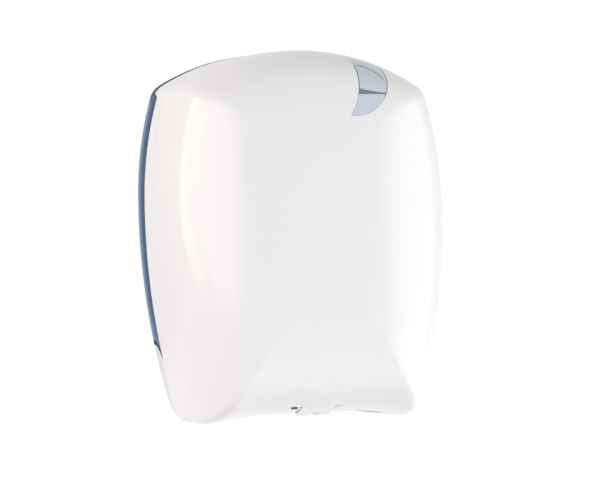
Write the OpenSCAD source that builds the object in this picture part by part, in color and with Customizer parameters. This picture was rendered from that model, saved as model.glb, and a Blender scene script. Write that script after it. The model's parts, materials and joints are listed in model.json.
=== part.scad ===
// Wall dispenser for a centre-pulled paper roll.
// The wall is the plane y = 0, the front faces -y and +z is up.
// The origin is the centre of the wall screw pattern, level with the widest part.

/* [Body outline] */
// Width at the widest level
body_w = 256; // [236:2:280]
// Height of the upper corners above the widest level
shoulder_h = 100; // [90:1:110]
// Rise of the arched top above the upper corners
arch_rise = 35; // [25:1:42]
// Depth of the lowest corners below the widest level
foot_h = 217; // [205:1:230]
// Rise of the bottom edge at the middle
bottom_arch = 7.5; // [3:0.5:11]
// Flatness of the bottom edge between its corners
bottom_flatness = 3.5; // [2:0.1:4]
// Radius of the bowed sides above the widest level
side_r_up = 358; // [320:2:420]
// Radius of the bowed sides below the widest level
side_r_low = 730; // [660:5:820]
// Length of the blend at the upper corners
shoulder_round = 12; // [9:0.5:16]
// Length of the blend at the lower corners
foot_round = 8; // [7:0.5:14]

/* [Cover form] */
// Depth from the wall to the middle of the front
cover_depth = 227; // [215:1:240]
// Wall of the moulded cover
cover_wall = 2.6; // [2:0.1:3.2]
// Extra depth that the front gains over the lean height below the widest level
front_lean = 29; // [20:1:34]
// Height over which the front gains its extra depth
lean_height = 150; // [130:5:180]
// Rise of the underside from the wall to the front
bottom_rise = 38; // [30:1:44]
// Squareness of the cover's sides in plan
side_squareness = 4.6; // [4:0.1:5.4]
// Squareness of the top in profile
top_squareness = 7.5; // [6:0.1:9]
// Squareness of the underside in profile
bottom_squareness = 5.9; // [5:0.1:7]
// Radius of the rounded panels at the cover's sides, in plan
panel_r = 138.5; // [137:0.5:143]
// Distance of the panels' centres from the middle
panel_x = 20.6; // [19:0.2:22]
// Depth of the panels' centres from the wall, level with the widest part
panel_y = 92.6; // [91:0.2:94]
// Softness of the panels' edges
panel_soft = 1.2; // [0.8:0.1:2]

/* [Rim] */
// Depth of the smoky rim from the wall
rim_depth = 46; // [40:1:52]
// Wall of the rim
rim_wall = 2.8; // [2.2:0.1:3.4]
// Width of the rim's inner flange
rim_flange_w = 11; // [9:0.5:14]
// Thickness of the rim's inner flange
rim_flange_t = 2.5; // [2:0.1:3.5]
// Gap between the rim and the closed cover
seam = 0.6; // [0.4:0.1:1]

/* [Wall plate] */
// Thickness of the wall plate
plate_t = 3; // [2.5:0.1:4]
// Gap between the plate's edge and the rim
plate_fit = 0.3; // [0.2:0.1:0.5]
// Height of the plate's ribs
rib_h = 5; // [4:0.5:6]
// Thickness of all moulded ribs
rib_t = 2.2; // [1.6:0.1:3]
// Distance between the wall screws, sideways
screw_dx = 120; // [100:5:140]
// Distance between the wall screws, up and down
screw_dz = 160; // [140:5:180]
// Radius of the wall screw holes
screw_hole_r = 2.75; // [2.2:0.05:3.2]
// Radius of the bosses round the wall screw holes
screw_boss_r = 8; // [7:0.5:10]

/* [Hinge] */
// Distance of the hinge axis from the wall
hinge_y = 15; // [14.6:0.1:17]
// Height of the hinge axis above the lowest corners
hinge_drop = 14; // [12.5:0.1:14]
// Gap between the cover's cheeks and the wall
wall_gap = 0.8; // [0.5:0.1:0.9]
// Radius about the hinge axis at which the cheeks end below the rim
cheek_r = 56; // [50:1:62]
// Radius of the hinge pins
pin_r = 3; // [2.5:0.1:3.5]
// Running clearance of pins in their bores
pin_play = 0.05; // [0.03:0.01:0.08]
// Radius of the hinge eyes and lugs
eye_r = 7; // [6.5:0.1:7.2]
// Thickness of the hinge arms
arm_t = 9; // [7:0.5:11]
// Thickness of the plate's hinge lugs
lug_t = 9; // [7:0.5:11]
// Wall of the hinge bushes
bush_wall = 1.4; // [1:0.1:1.8]
// Thickness of the flange on a hinge bush
bush_flange_t = 1; // [0.8:0.1:1.4]
// Side play between a bush and its lug
bush_play = 0.3; // [0.2:0.1:0.5]
// Length of the bosses that carry the hinge arms
arm_boss_len = 16; // [13:0.5:18]

/* [Roll shelf] */
// Height of the shelf's upper face above the lowest corners
shelf_rise = 79; // [76:0.5:82]
// Thickness of the shelf
shelf_t = 3; // [2.5:0.1:4]
// Distance of the shelf's front edge behind the middle of the cover's front
shelf_setback = 13; // [11:0.5:16]
// Clearance between the shelf and the rim
shelf_clear = 8; // [6:0.5:12]
// Radius of the shelf's front corners
shelf_corner_r = 88; // [80:1:95]
// Height of the lip round the shelf
shelf_lip_h = 8; // [5:0.5:10]
// Distance of the roll's axis from the wall
roll_y = 110; // [107:1:113]
// Width of the shelf's rear flange
shelf_flange_w = 120; // [110:2:126]
// Reach of the shelf's rear flange above and below the shelf
shelf_flange_h = 15; // [13:0.5:17]

/* [Outlet] */
// Radius of the outlet cone at the shelf
cone_top_r = 31; // [28:0.5:33]
// Radius of the outlet at the tip
cone_tip_r = 14; // [12:0.5:15]
// Length of the tapering part of the cone
cone_len = 44; // [40:1:46]
// Length of the straight tip of the cone
tip_len = 6; // [6:0.5:8]
// Wall of the cone
cone_wall = 2.2; // [1.8:0.1:2.6]
// Width of the cone's flange
cone_flange_w = 9; // [8:0.5:11]
// Thickness of the grip star
star_t = 1.6; // [1.2:0.1:2]
// Radius of the hole in the grip star
star_hole_r = 5; // [4:0.25:6]
// Number of slits in the grip star
star_slits = 6; // [4:1:8]
// Wall of the outlet collar
collar_wall = 2.4; // [2:0.1:3]
// Number of finger ribs on the outlet collar
collar_ribs = 16; // [10:1:20]

/* [Underside and latch] */
// Clearance between the underside opening and the hinge lugs
underside_clear = 4; // [3:0.5:6]
// Distance of the underside opening's front edge behind the tab's rear end
underside_setback = 6; // [4:0.5:9]
// Radius of the underside opening's front corners
underside_corner_r = 30; // [20:1:40]
// Width of the latch tab
tab_w = 30; // [26:1:34]
// Distance of the tab's front end behind the middle of the cover's front
tab_setback = 13; // [12:0.5:15]
// Length of the tab from front to rear
tab_len = 30; // [27:0.5:32]
// Thickness of the tab
tab_t = 3; // [2.5:0.1:3.5]
// Drop of the tab's finger lip below the underside
tab_lip = 3; // [2.5:0.1:4]
// Gap round the tab
tab_gap = 0.8; // [0.5:0.1:1.2]
// Reach of the small corner openings beside the tab
notch_wing = 7; // [5:0.5:9]
// Height of the latch axis above the cover's outer face
latch_rise = 7; // [6:0.5:8]
// Radius of the latch barrel
barrel_r = 3.6; // [3.2:0.1:4]
// Radius of the latch pin
latch_pin_r = 1.5; // [1.2:0.1:1.8]
// Distance of the latch axis behind the tab's front end
latch_setback = 4; // [3.5:0.1:4.5]
// Distance of the hook's top below the shelf
hook_clear = 6.6; // [6:0.1:7]
// Width of the hook
hook_w = 18; // [14:1:20]
// Reach of the hook's nose behind the latch axis
hook_reach = 6.6; // [5.6:0.1:7]
// Clearance between the hook's nose and the keeper
keeper_gap = 0.4; // [0.3:0.05:0.6]
// Thickness of the latch bracket
bracket_t = 2.5; // [2:0.1:3]

/* [Level window] */
// Sideways place of the window's outer disc
window_x = 31; // [28:0.5:34]
// Height of the window's outer disc
window_z = 111.5; // [109:0.5:114]
// Radius of the window's outer disc
window_r = 35; // [33:0.5:37]
// Sideways place of the disc that bites into the window
bite_x = -21.5; // [-24:0.5:-19]
// Height of the disc that bites into the window
bite_z = 109; // [106:0.5:112]
// Radius of the disc that bites into the window
bite_r = 59; // [56:0.5:61]
// Distance of the window's rear edge behind the middle of the cover's front
window_wrap = 62; // [56:1:70]
// Gap round the window lens
window_gap = 0.25; // [0.2:0.05:0.4]
// Width of the lens flange inside the cover
window_flange_w = 4; // [3:0.5:5]
// Thickness of the lens flange
window_flange_t = 1.4; // [1:0.1:1.8]

/* [Fasteners] */
// Radius of the small screws
small_screw_r = 1.5; // [1.2:0.1:1.8]
// Radius of the small screws' heads
small_head_r = 3; // [2.6:0.1:3.4]
// Height of the small screws' heads
small_head_h = 1.8; // [1.4:0.1:2.2]
// Length of the small screws under the head
small_screw_len = 8; // [7:0.5:9]
// Clearance of the small screws in their holes
small_screw_play = 0.15; // [0.1:0.05:0.25]
// Radius of the bosses that take small screws
small_boss_r = 4; // [3.6:0.1:5]

/* [Latch spring] */
// Radius of the spring's coil, at the middle of the wire
spring_r = 3.2; // [2.8:0.1:3.6]
// Radius of the spring's wire
spring_wire_r = 0.45; // [0.35:0.05:0.55]
// Number of curls
spring_curls = 5; // [4:1:6]
// Distance of the spring's axis behind the latch axis
spring_back = 15; // [13:0.5:17]

/* [Hidden] */
$fn = 64;

white = "#f4f2f1";
ivory = "#e9e7e2";
smoke = "#61738b";
steel = "#b9bcc0";
grey = "#8d9298";

// Small overlap that lets joined shapes fuse
fuse = 0.2;
// Reach of cutting shapes past what they cut
past = 60;

half_w = body_w / 2;
top_h = shoulder_h + arch_rise;
shelf_z = -foot_h + shelf_rise;
shelf_front = cover_depth - shelf_setback;
tab_front = cover_depth - tab_setback;
tab_back = tab_front - tab_len;
underside_front = tab_back - underside_setback;
window_back = cover_depth - window_wrap;

// Outline of the body, seen from the front
function sag(u, r) = r - sqrt(r * r - u * u);
function side_x(z) = half_w - sag(z, z > 0 ? side_r_up : side_r_low);
shoulder_x = side_x(shoulder_h);
foot_x = side_x(-foot_h);
arch_r = (shoulder_x * shoulder_x + arch_rise * arch_rise) / (2 * arch_rise);
function top_z(x) = top_h - sag(x, arch_r);
function bottom_z(x) = -foot_h + bottom_arch * (1 - pow(abs(x) / foot_x, bottom_flatness));
function mix(a, b, t) = a + (b - a) * t;
function bend(a, c, b, t) = mix(mix(a, c, t), mix(c, b, t), t);

bottom_steps = 5;
corner_steps = 4;
side_steps = 14;
top_steps = 8;
foot_from = [foot_x - foot_round, bottom_z(foot_x - foot_round)];
foot_to = [side_x(-foot_h + foot_round), -foot_h + foot_round];
shoulder_from = [side_x(shoulder_h - shoulder_round), shoulder_h - shoulder_round];
shoulder_to = [shoulder_x - shoulder_round, top_z(shoulder_x - shoulder_round)];

right_half = concat(
    [for (i = [0:bottom_steps - 1])
        let (x = foot_from[0] * i / bottom_steps) [x, bottom_z(x)]],
    [for (i = [0:corner_steps - 1])
        bend(foot_from, [foot_x, -foot_h], foot_to, i / corner_steps)],
    [for (i = [0:side_steps - 1])
        let (z = mix(foot_to[1], shoulder_from[1], i / side_steps)) [side_x(z), z]],
    [for (i = [0:corner_steps - 1])
        bend(shoulder_from, [shoulder_x, shoulder_h], shoulder_to, i / corner_steps)],
    [for (i = [0:top_steps])
        let (x = shoulder_to[0] * (1 - i / top_steps)) [x, top_z(x)]]);
half_n = len(right_half) - 1;
ring_n = 2 * half_n;
body_outline = concat(
    right_half,
    [for (i = [half_n - 1:-1:1]) [-right_half[i][0], right_half[i][1]]]);

// The outline moved inwards by a wall
function inset(points, wall) = let (n = len(points))
    [for (i = [0:n - 1])
        let (ahead = points[(i + 1) % n], behind = points[(i + n - 1) % n],
             run = ahead - behind)
        points[i] + wall * [-run[1], run[0]] / norm(run)];

// The cover's form: the outline shrinks towards the front as a squared-off round
function round_off(t, power) = pow(1 - pow(t, power), 1 / power);
function lean_at(z) = front_lean * z / lean_height;
function plain_point(p, t, depth) = let (
    x = p[0] * round_off(t, side_squareness),
    z = p[1] * (p[1] > 0 ? round_off(t, top_squareness)
        : round_off(t, bottom_squareness) * (1 - bottom_rise / foot_h * t)))
    [x, -rim_depth - t * (depth - rim_depth - lean_at(z)), z];

// The panels: upright rounds that take off the bulging edges between the front and the sides
function form_point(p, t, depth) = let (
    q = plain_point(p, t, depth),
    arm = [max(abs(q[0]) - panel_x, 0), lean_at(q[2]) - q[1] - panel_y],
    reach = max(norm(arm), panel_soft),
    over = reach - panel_r + cover_depth - depth,
    cut = panel_soft * ln(1 + exp(over / panel_soft)) / reach)
    [q[0] - sign(q[0]) * arm[0] * cut, q[1] + arm[1] * cut, q[2]];

form_steps = 18;
form_power = 5;
form_levels = [for (k = [0:form_steps - 1]) pow(sin(90 * k / form_steps), 2 / form_power)];

module form(wall, back) {
    ring = wall > 0 ? inset(body_outline, wall) : body_outline;
    depth = cover_depth - wall;
    points = concat(
        [for (p = ring) [p[0], -back, p[1]]],
        [for (t = form_levels) for (p = ring) form_point(p, t, depth)],
        [form_point([0, 0], 1, depth)]);
    last = form_steps * ring_n;
    tip = last + ring_n;
    rings = [for (k = [0:form_steps - 1]) for (i = [0:ring_n - 1])
        let (a = k * ring_n + i, b = k * ring_n + (i + 1) % ring_n)
        each [[a, a + ring_n, b], [b, a + ring_n, b + ring_n]]];
    nose = [for (i = [0:ring_n - 1]) [last + i, tip, last + (i + 1) % ring_n]];
    rear = [for (i = [0:half_n - 1])
        let (l = (ring_n - i) % ring_n)
        each [[i, i + 1, ring_n - i - 1], [i, ring_n - i - 1, l]]];
    rear_faces = [for (f = rear) if (f[0] != f[2] && f[1] != f[2]) f];
    polyhedron(points, concat(rings, nose, rear_faces));
}

// Middle line of the underside, from the wall to the front
function underside(t, wall) = let (p = form_point([0, bottom_z(0) + wall], t, cover_depth - wall))
    [p[1], p[2]];
front_share = 0.9;
search_steps = 20;
function share_at(depth, low = 0, high = front_share, steps = search_steps) = let (m = (low + high) / 2)
    steps == 0 ? m
    : -underside(m, 0)[0] < depth ? share_at(depth, m, high, steps - 1)
    : share_at(depth, low, m, steps - 1);
function underside_z(depth) = underside(share_at(depth), 0)[1];

// Shapes seen from the front, made solid between two distances from the wall
module slab(near, far) {
    translate([0, -near, 0]) rotate([90, 0, 0]) linear_extrude(far - near) children();
}

// Shapes seen from the side, made solid between two places across
module across(from, to) {
    translate([from, 0, 0]) rotate([90, 0, 90]) linear_extrude(to - from) children();
}

module rod_x(from, to, y, z, r) {
    translate([from, y, z]) rotate([0, 90, 0]) cylinder(r = r, h = to - from);
}

module rod_y(near, far, x, z, r) {
    translate([x, -near, z]) rotate([90, 0, 0]) cylinder(r = r, h = far - near);
}

// Small screw at the origin, head towards +z and shank down
module small_screw(shank) {
    translate([0, 0, -shank])
        cylinder(r = small_screw_r, h = shank + fuse);
    difference() {
        cylinder(r = small_head_r, h = small_head_h);
        for (turn = [0, 90])
            rotate(turn)
                translate([0, 0, small_head_h])
                    cube([slot_len, slot_w, small_head_h], center = true);
    }
}
slot_len = small_head_r * 1.2;
slot_w = small_head_r * 0.3;

// Hinge
hinge_z = -foot_h + hinge_drop;
corner_r = hinge_y - wall_gap;
arm_out = side_x(hinge_z) - cover_wall - arm_boss_len;
arm_in = arm_out - arm_t;
lug_out = arm_in - bush_flange_t - bush_play;
lug_in = lug_out - lug_t;
bush_r = pin_r + pin_play + bush_wall;
// Places of the screws that hold a hinge arm, from the axis, as depth and height
arm_screw_at = [[15, 25], [31, 4]];
arm_pad_r = 6.5;

module hinge_disc(r) {
    translate([-hinge_y, hinge_z]) circle(r);
}

// Wall plate
module plate_shape() {
    intersection() {
        polygon(inset(body_outline, rim_wall + plate_fit));
        union() {
            translate([-half_w, hinge_z + cheek_r + seam])
                square([body_w, top_h - hinge_z]);
            translate([-lug_out, hinge_z - eye_r])
                square([2 * lug_out, cheek_r + past]);
        }
    }
}

// Places of the screws through the rim's flange, as points of the inset outline
rim_screw_inset = rim_wall + rim_flange_w / 2 + fuse;
rim_screw_line = inset(body_outline, rim_screw_inset);
rim_screw_steps = [bottom_steps + corner_steps + 5, bottom_steps + corner_steps + 10,
    half_n - 5, half_n + 5, ring_n - bottom_steps - corner_steps - 10,
    ring_n - bottom_steps - corner_steps - 5];
rim_screw_at = [for (i = rim_screw_steps) rim_screw_line[i]];

// Distance of a small screw from a moulded edge
screw_edge = 5.5;
shelf_screw_x = shelf_flange_w / 2 - rib_t - screw_edge;
shelf_screw_rise = shelf_flange_h - screw_edge;
shelf_screw_at = [for (x = [-shelf_screw_x, shelf_screw_x])
    for (z = [shelf_screw_rise, -shelf_t - shelf_screw_rise]) [x, shelf_z + z]];
// Distance at which a screw ends before the far face
blind = 1;

// Distance of the upright ribs from the wall screws, and reach of the level ribs past them
rib_offset = 22;
rib_span_x = screw_dx / 2 + rib_offset;
rib_x = screw_dx / 2 - rib_offset;
rib_low = shelf_z + shelf_flange_h + screw_edge;
rib_high = screw_dz / 2 - screw_hole_r - rib_t;

module plate_ribs() {
    for (x = [-rib_x, rib_x])
        translate([x - rib_t / 2, rib_low])
            square([rib_t, rib_high - rib_low]);
    for (z = [rib_low, (rib_low + rib_high) / 2, rib_high])
        translate([-rib_span_x, z - rib_t / 2])
            square([2 * rib_span_x, rib_t]);
}

module back_plate() {
    color(white)
        difference() {
            union() {
                slab(0, plate_t) plate_shape();
                slab(plate_t - fuse, plate_t + rib_h) plate_ribs();
                for (x = [-1, 1])
                    for (z = [-1, 1])
                        rod_y(plate_t - fuse, plate_t + rib_h, x * screw_dx / 2, z * screw_dz / 2, screw_boss_r);
                for (x = [-lug_out, lug_in])
                    hinge_lug(x);
            }
            for (x = [-1, 1])
                for (z = [-1, 1])
                    rod_y(-past, past, x * screw_dx / 2, z * screw_dz / 2, screw_hole_r);
            rod_x(-half_w, half_w, -hinge_y, hinge_z, pin_r);
            for (p = concat(rim_screw_at, shelf_screw_at))
                rod_y(-past, past, p[0], p[1], small_screw_r + small_screw_play);
        }
}

module hinge_lug(from) {
    rod_x(from, from + lug_t, -hinge_y, hinge_z, eye_r);
    translate([from, -hinge_y, hinge_z - eye_r])
        cube([lug_t, hinge_y - plate_t + fuse, 2 * eye_r]);
}

// Smoky rim: sides and arched top, open where the cover's cheeks come down
module rim_end_cut() {
    across(-half_w - past, half_w + past)
        union() {
            hinge_disc(cheek_r + seam);
            translate([-rim_depth - past, hinge_z - foot_h])
                square([rim_depth + 2 * past, foot_h]);
        }
}

module smoky_rim() {
    color(smoke, 0.75)
        difference() {
            union() {
                slab(0, rim_depth)
                    difference() {
                        polygon(body_outline);
                        polygon(inset(body_outline, rim_wall));
                    }
                slab(plate_t, plate_t + rim_flange_t)
                    difference() {
                        polygon(inset(body_outline, rim_wall - fuse));
                        polygon(inset(body_outline, rim_wall + rim_flange_w));
                    }
            }
            rim_end_cut();
            for (p = rim_screw_at)
                rod_y(0, past, p[0], p[1], small_screw_r + small_screw_play);
        }
}

// Short screws that end inside the wall plate
module screws_to_wall(places, seat) {
    for (p = places)
        translate([p[0], -seat, p[1]]) rotate([90, 0, 0]) small_screw(seat - blind);
}

module rim_screws() {
    color(steel) screws_to_wall(rim_screw_at, plate_t + rim_flange_t);
}

// Roll shelf
shelf_half = side_x(shelf_z) - rim_wall - shelf_clear;
shelf_flange_t = rim_flange_t;
shelf_rear = plate_t + shelf_flange_t;
shelf_under = shelf_z - shelf_t;
shelf_lip_t = rib_t;
outlet_hole_r = cone_top_r + 1;
cone_flange_r = cone_top_r + cone_wall + cone_flange_w;
cone_screw_r = cone_top_r + cone_wall + cone_flange_w / 2;
cone_screw_turns = [30, 150, 270];
spoke_turns = [0, 60, 120, 180, 240, 300];
spoke_from = cone_flange_r + 3;
spoke_len = 36;
spoke_h = 9;
gusset_len = 60;

module shelf_shape(less) {
    half = shelf_half - less;
    corner = shelf_corner_r - less;
    front = shelf_front - less;
    translate([-half, -front + corner])
        square([2 * half, front - corner - shelf_rear + less]);
    translate([-half + corner, -front])
        square([2 * (half - corner), corner + fuse]);
    for (x = [-1, 1])
        translate([x * (half - corner), -front + corner]) circle(corner);
}

module roll_shelf() {
    color(ivory)
        difference() {
            union() {
                translate([0, 0, shelf_under])
                    linear_extrude(shelf_t) shelf_shape(0);
                translate([0, 0, shelf_z - fuse])
                    linear_extrude(shelf_lip_h + fuse)
                        difference() {
                            shelf_shape(0);
                            shelf_shape(shelf_lip_t);
                        }
                slab(plate_t, shelf_rear)
                    translate([-shelf_flange_w / 2, shelf_under - shelf_flange_h])
                        square([shelf_flange_w, 2 * shelf_flange_h + shelf_t]);
                slab(plate_t, shelf_rear + fuse)
                    translate([-shelf_flange_w / 2, shelf_under])
                        square([shelf_flange_w, shelf_t]);
                for (turn = spoke_turns)
                    translate([0, -roll_y, shelf_under - spoke_h])
                        rotate(turn)
                            translate([spoke_from, -rib_t / 2, 0])
                                cube([spoke_len, rib_t, spoke_h + fuse]);
                for (x = [-shelf_flange_w / 2, shelf_flange_w / 2 - rib_t])
                    across(x, x + rib_t)
                        polygon([[-plate_t - fuse, shelf_under + fuse],
                            [-shelf_rear - gusset_len, shelf_under + fuse],
                            [-plate_t - fuse, shelf_under - shelf_flange_h]]);
            }
            translate([0, -roll_y, shelf_under - past])
                cylinder(r = outlet_hole_r, h = 2 * past);
            for (turn = cone_screw_turns)
                translate([0, -roll_y, shelf_under - past])
                    rotate(turn)
                        translate([cone_screw_r, 0, 0])
                            cylinder(r = small_screw_r + small_screw_play, h = 2 * past);
            for (p = shelf_screw_at)
                rod_y(0, past, p[0], p[1], small_screw_r + small_screw_play);
            for (x = [-keeper_screw_x, keeper_screw_x])
                translate([x, -keeper_screw_y, shelf_under - past])
                    cylinder(r = small_screw_r + small_screw_play, h = 2 * past);
        }
}

module shelf_screws() {
    color(steel) screws_to_wall(shelf_screw_at, shelf_rear);
}

// Short screw up into the shelf, with its head below the piece it holds
module shelf_up_screw(piece_t) {
    rotate([180, 0, 0]) small_screw(shelf_t + piece_t - blind);
}

// Outlet cone, grip star and collar
cone_flange_t = rib_t;
cone_foot = shelf_under - cone_len;
tip_foot = cone_foot - tip_len;
tip_r = cone_tip_r + cone_wall;
collar_r = tip_r + pin_play + collar_wall;
collar_foot = tip_foot - star_t - collar_wall;
collar_top = cone_foot - collar_wall;

module outlet_cone() {
    color(white)
        difference() {
            translate([0, -roll_y, 0])
                rotate_extrude()
                    polygon([[cone_top_r, shelf_under], [cone_flange_r, shelf_under],
                        [cone_flange_r, shelf_under - cone_flange_t],
                        [cone_top_r + cone_wall, shelf_under - cone_flange_t],
                        [tip_r, cone_foot], [tip_r, tip_foot],
                        [cone_tip_r, tip_foot], [cone_tip_r, cone_foot]]);
            for (turn = cone_screw_turns)
                translate([0, -roll_y, shelf_under - past])
                    rotate(turn)
                        translate([cone_screw_r, 0, 0])
                            cylinder(r = small_screw_r + small_screw_play, h = 2 * past);
        }
}

module cone_screws() {
    color(steel)
        for (turn = cone_screw_turns)
            translate([0, -roll_y, shelf_under - cone_flange_t])
                rotate(turn)
                    translate([cone_screw_r, 0, 0]) shelf_up_screw(cone_flange_t);
}

slit_w = 0.8;
star_rim = 3;

module grip_star() {
    color(grey)
        translate([0, -roll_y, tip_foot - star_t])
            linear_extrude(star_t)
                difference() {
                    circle(tip_r);
                    circle(star_hole_r);
                    for (k = [0:star_slits - 1])
                        rotate(360 * k / star_slits)
                            translate([0, -slit_w / 2])
                                square([cone_tip_r - star_rim, slit_w]);
                }
}

collar_rib_r = 1.2;

module outlet_collar() {
    color(white)
        translate([0, -roll_y, 0])
            difference() {
                union() {
                    translate([0, 0, collar_foot])
                        cylinder(r = collar_r, h = collar_top - collar_foot);
                    for (k = [0:collar_ribs - 1])
                        rotate(360 * k / collar_ribs)
                            translate([collar_r, 0, collar_foot])
                                cylinder(r = collar_rib_r, h = collar_top - collar_foot, $fn = 24);
                }
                translate([0, 0, tip_foot - star_t])
                    cylinder(r = tip_r + pin_play, h = past);
                translate([0, 0, collar_foot - past])
                    cylinder(r = cone_tip_r - star_rim + slit_w, h = 2 * past);
            }
}

// Latch
latch_y = -tab_front + latch_setback;
latch_z = underside_z(-latch_y) + latch_rise;
hook_top = shelf_under - hook_clear;
nose_h = 5;
nose_low = hook_top - nose_h;
hook_t = 4;
keeper_top = nose_low - keeper_gap;
keeper_front = latch_y + hook_reach + keeper_gap;
keeper_lip_t = 3;
keeper_lip_len = 9;
keeper_t = 2;
keeper_plate_w = 56;
keeper_plate_len = 16;
keeper_screw_x = 21;
keeper_rear = keeper_front + keeper_lip_len;
keeper_screw_y = -keeper_rear + keeper_plate_len / 2 - keeper_t;
keeper_margin = 5;
keeper_lip_w = hook_w + 2 * keeper_margin;

module latch_keeper() {
    color(steel)
        difference() {
            union() {
                across(-keeper_lip_w / 2, keeper_lip_w / 2)
                    polygon([[keeper_rear, shelf_under - fuse],
                        [keeper_rear - keeper_t, shelf_under - fuse],
                        [keeper_rear - keeper_t, keeper_top],
                        [keeper_front, keeper_top],
                        [keeper_front + keeper_lip_t / 2, keeper_top - keeper_lip_t],
                        [keeper_rear, keeper_top - keeper_lip_t]]);
                translate([-keeper_plate_w / 2, keeper_rear - keeper_plate_len, shelf_under - keeper_t])
                    cube([keeper_plate_w, keeper_plate_len, keeper_t]);
            }
            for (x = [-keeper_screw_x, keeper_screw_x])
                translate([x, -keeper_screw_y, shelf_under - past])
                    cylinder(r = small_screw_r + small_screw_play, h = 2 * past);
        }
}

module keeper_screws() {
    color(steel)
        for (x = [-keeper_screw_x, keeper_screw_x])
            translate([x, -keeper_screw_y, shelf_under - keeper_t]) shelf_up_screw(keeper_t);
}

// Latch tab: a bell crank with the finger tab behind its axis and the hook above it
tab_steps = 8;
dimple_r = 9;
dimple_depth = 1.2;
tab_chamfer = 3;
spring_peg_gap = 0.4;
tab_shares = [for (i = [0:tab_steps])
    share_at(mix(tab_front - tab_gap, tab_back, i / tab_steps))];
tab_outer = [for (i = [0:tab_steps])
    underside(tab_shares[i], 0) - [0, tab_lip * pow(i / tab_steps, 2)]];
tab_inner = [for (i = [tab_steps:-1:0]) underside(tab_shares[i], 0) + [0, tab_t]];
tab_low = underside_z(tab_back) - tab_lip;
dimple_step = 6;
peg_r = spring_r - spring_wire_r - spring_peg_gap;
peg_h = 3;
web_front = barrel_r - 1;
spring_y = latch_y + spring_back;
spring_low = underside_z(-spring_y) + tab_t;

module latch_tab() {
    color(white)
        difference() {
            union() {
                across(-tab_w / 2, tab_w / 2) polygon(concat(tab_outer, tab_inner));
                rod_x(-tab_w / 2, tab_w / 2, latch_y, latch_z, barrel_r);
                across(-tab_w / 2, tab_w / 2)
                    polygon([[latch_y - web_front, latch_z], [latch_y + barrel_r, latch_z],
                        [latch_y + 2 * barrel_r, underside_z(-latch_y - 2 * barrel_r) + tab_t / 2],
                        [latch_y - web_front, underside_z(-latch_y + web_front) + tab_t / 2]]);
                across(-hook_w / 2, hook_w / 2)
                    polygon([[latch_y - hook_t / 2, latch_z], [latch_y + hook_t / 2, latch_z],
                        [latch_y + hook_t / 2, nose_low], [latch_y + hook_reach, nose_low],
                        [latch_y + hook_reach - nose_h / 3, hook_top],
                        [latch_y - hook_t / 2, hook_top]]);
                translate([0, spring_y, spring_low - fuse])
                    cylinder(r = peg_r, h = peg_h + fuse);
            }
            rod_x(-tab_w, tab_w, latch_y, latch_z, latch_pin_r + pin_play);
            translate([0, tab_outer[dimple_step][0], tab_outer[dimple_step][1] - dimple_r + dimple_depth])
                sphere(dimple_r);
            for (side = [-1, 1])
                slab(tab_back - past, tab_front + past)
                    polygon([[side * (tab_w / 2 - tab_chamfer), tab_low - fuse],
                        [side * (tab_w / 2 + fuse), tab_low - fuse],
                        [side * (tab_w / 2 + fuse), tab_low + tab_chamfer]]);
        }
}

// Latch bracket: a flange on the cover's front, two ears for the pin and a roof for the spring
ear_play = 1.5;
ear_foot = 2.5;
ear_in = tab_w / 2 + ear_play;
ear_out = ear_in + bracket_t;
roof_rise = 6.5;
roof_low = latch_z + roof_rise;
roof_top = roof_low + bracket_t;
roof_front = latch_y + hook_t + ear_play;
roof_back = spring_y + 2 * spring_r;
flange_ahead = 10;
flange_back = latch_y - flange_ahead;
flange_front = flange_back - bracket_t;
flange_rise = 7;
flange_h = 18;
flange_low = latch_z + flange_rise;
flange_top = flange_low + flange_h;
bracket_screw_x = ear_out + 2 * small_boss_r;
bracket_screw_z = (flange_low + flange_top) / 2;
bracket_half = bracket_screw_x + screw_edge;

module latch_bracket() {
    color(ivory)
        difference() {
            union() {
                slab(-flange_back, -flange_front)
                    translate([-bracket_half, flange_low])
                        square([2 * bracket_half, flange_top - flange_low]);
                for (x = [-ear_out, ear_in])
                    across(x, x + bracket_t)
                        polygon([[flange_back - fuse, flange_low + fuse], [flange_back - fuse, flange_top],
                            [flange_back + bracket_t, flange_top], [roof_front, roof_top],
                            [roof_back, roof_top], [roof_back, roof_low],
                            [roof_front + bracket_t, roof_low], [latch_y + hook_t, latch_z - ear_foot],
                            [latch_y - ear_play, latch_z - ear_foot], [latch_y - hook_t, latch_z]]);
                translate([-ear_out, roof_front, roof_low])
                    cube([2 * ear_out, roof_back - roof_front, bracket_t]);
            }
            rod_x(-tab_w, tab_w, latch_y, latch_z, latch_pin_r);
            for (x = [-bracket_screw_x, bracket_screw_x])
                rod_y(0, cover_depth + past, x, bracket_screw_z, small_screw_r + small_screw_play);
        }
}

module bracket_screws() {
    color(steel)
        for (x = [-bracket_screw_x, bracket_screw_x])
            translate([x, flange_back, bracket_screw_z]) rotate([-90, 0, 0]) small_screw(small_screw_len);
}

module latch_pin() {
    color(steel) rod_x(-ear_out, ear_out, latch_y, latch_z, latch_pin_r);
}

// Latch spring: one unbroken helix between the tab and the bracket's roof
spring_seat = 0.25;
spring_from = spring_low + spring_seat + spring_wire_r;
spring_to = roof_low - spring_seat - spring_wire_r;
curl_rings = 8;
wire_sides = 6;
spring_rings = spring_curls * curl_rings;
spring_line = [for (k = [0:spring_rings])
    let (turn = 360 * k / curl_rings)
    [spring_r * cos(turn), spring_y + spring_r * sin(turn), mix(spring_from, spring_to, k / spring_rings)]];
spring_gap = min([for (k = [0:spring_rings - curl_rings]) for (j = [k + curl_rings / 2:spring_rings])
    norm(spring_line[k] - spring_line[j])]) - 2 * spring_wire_r;

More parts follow.
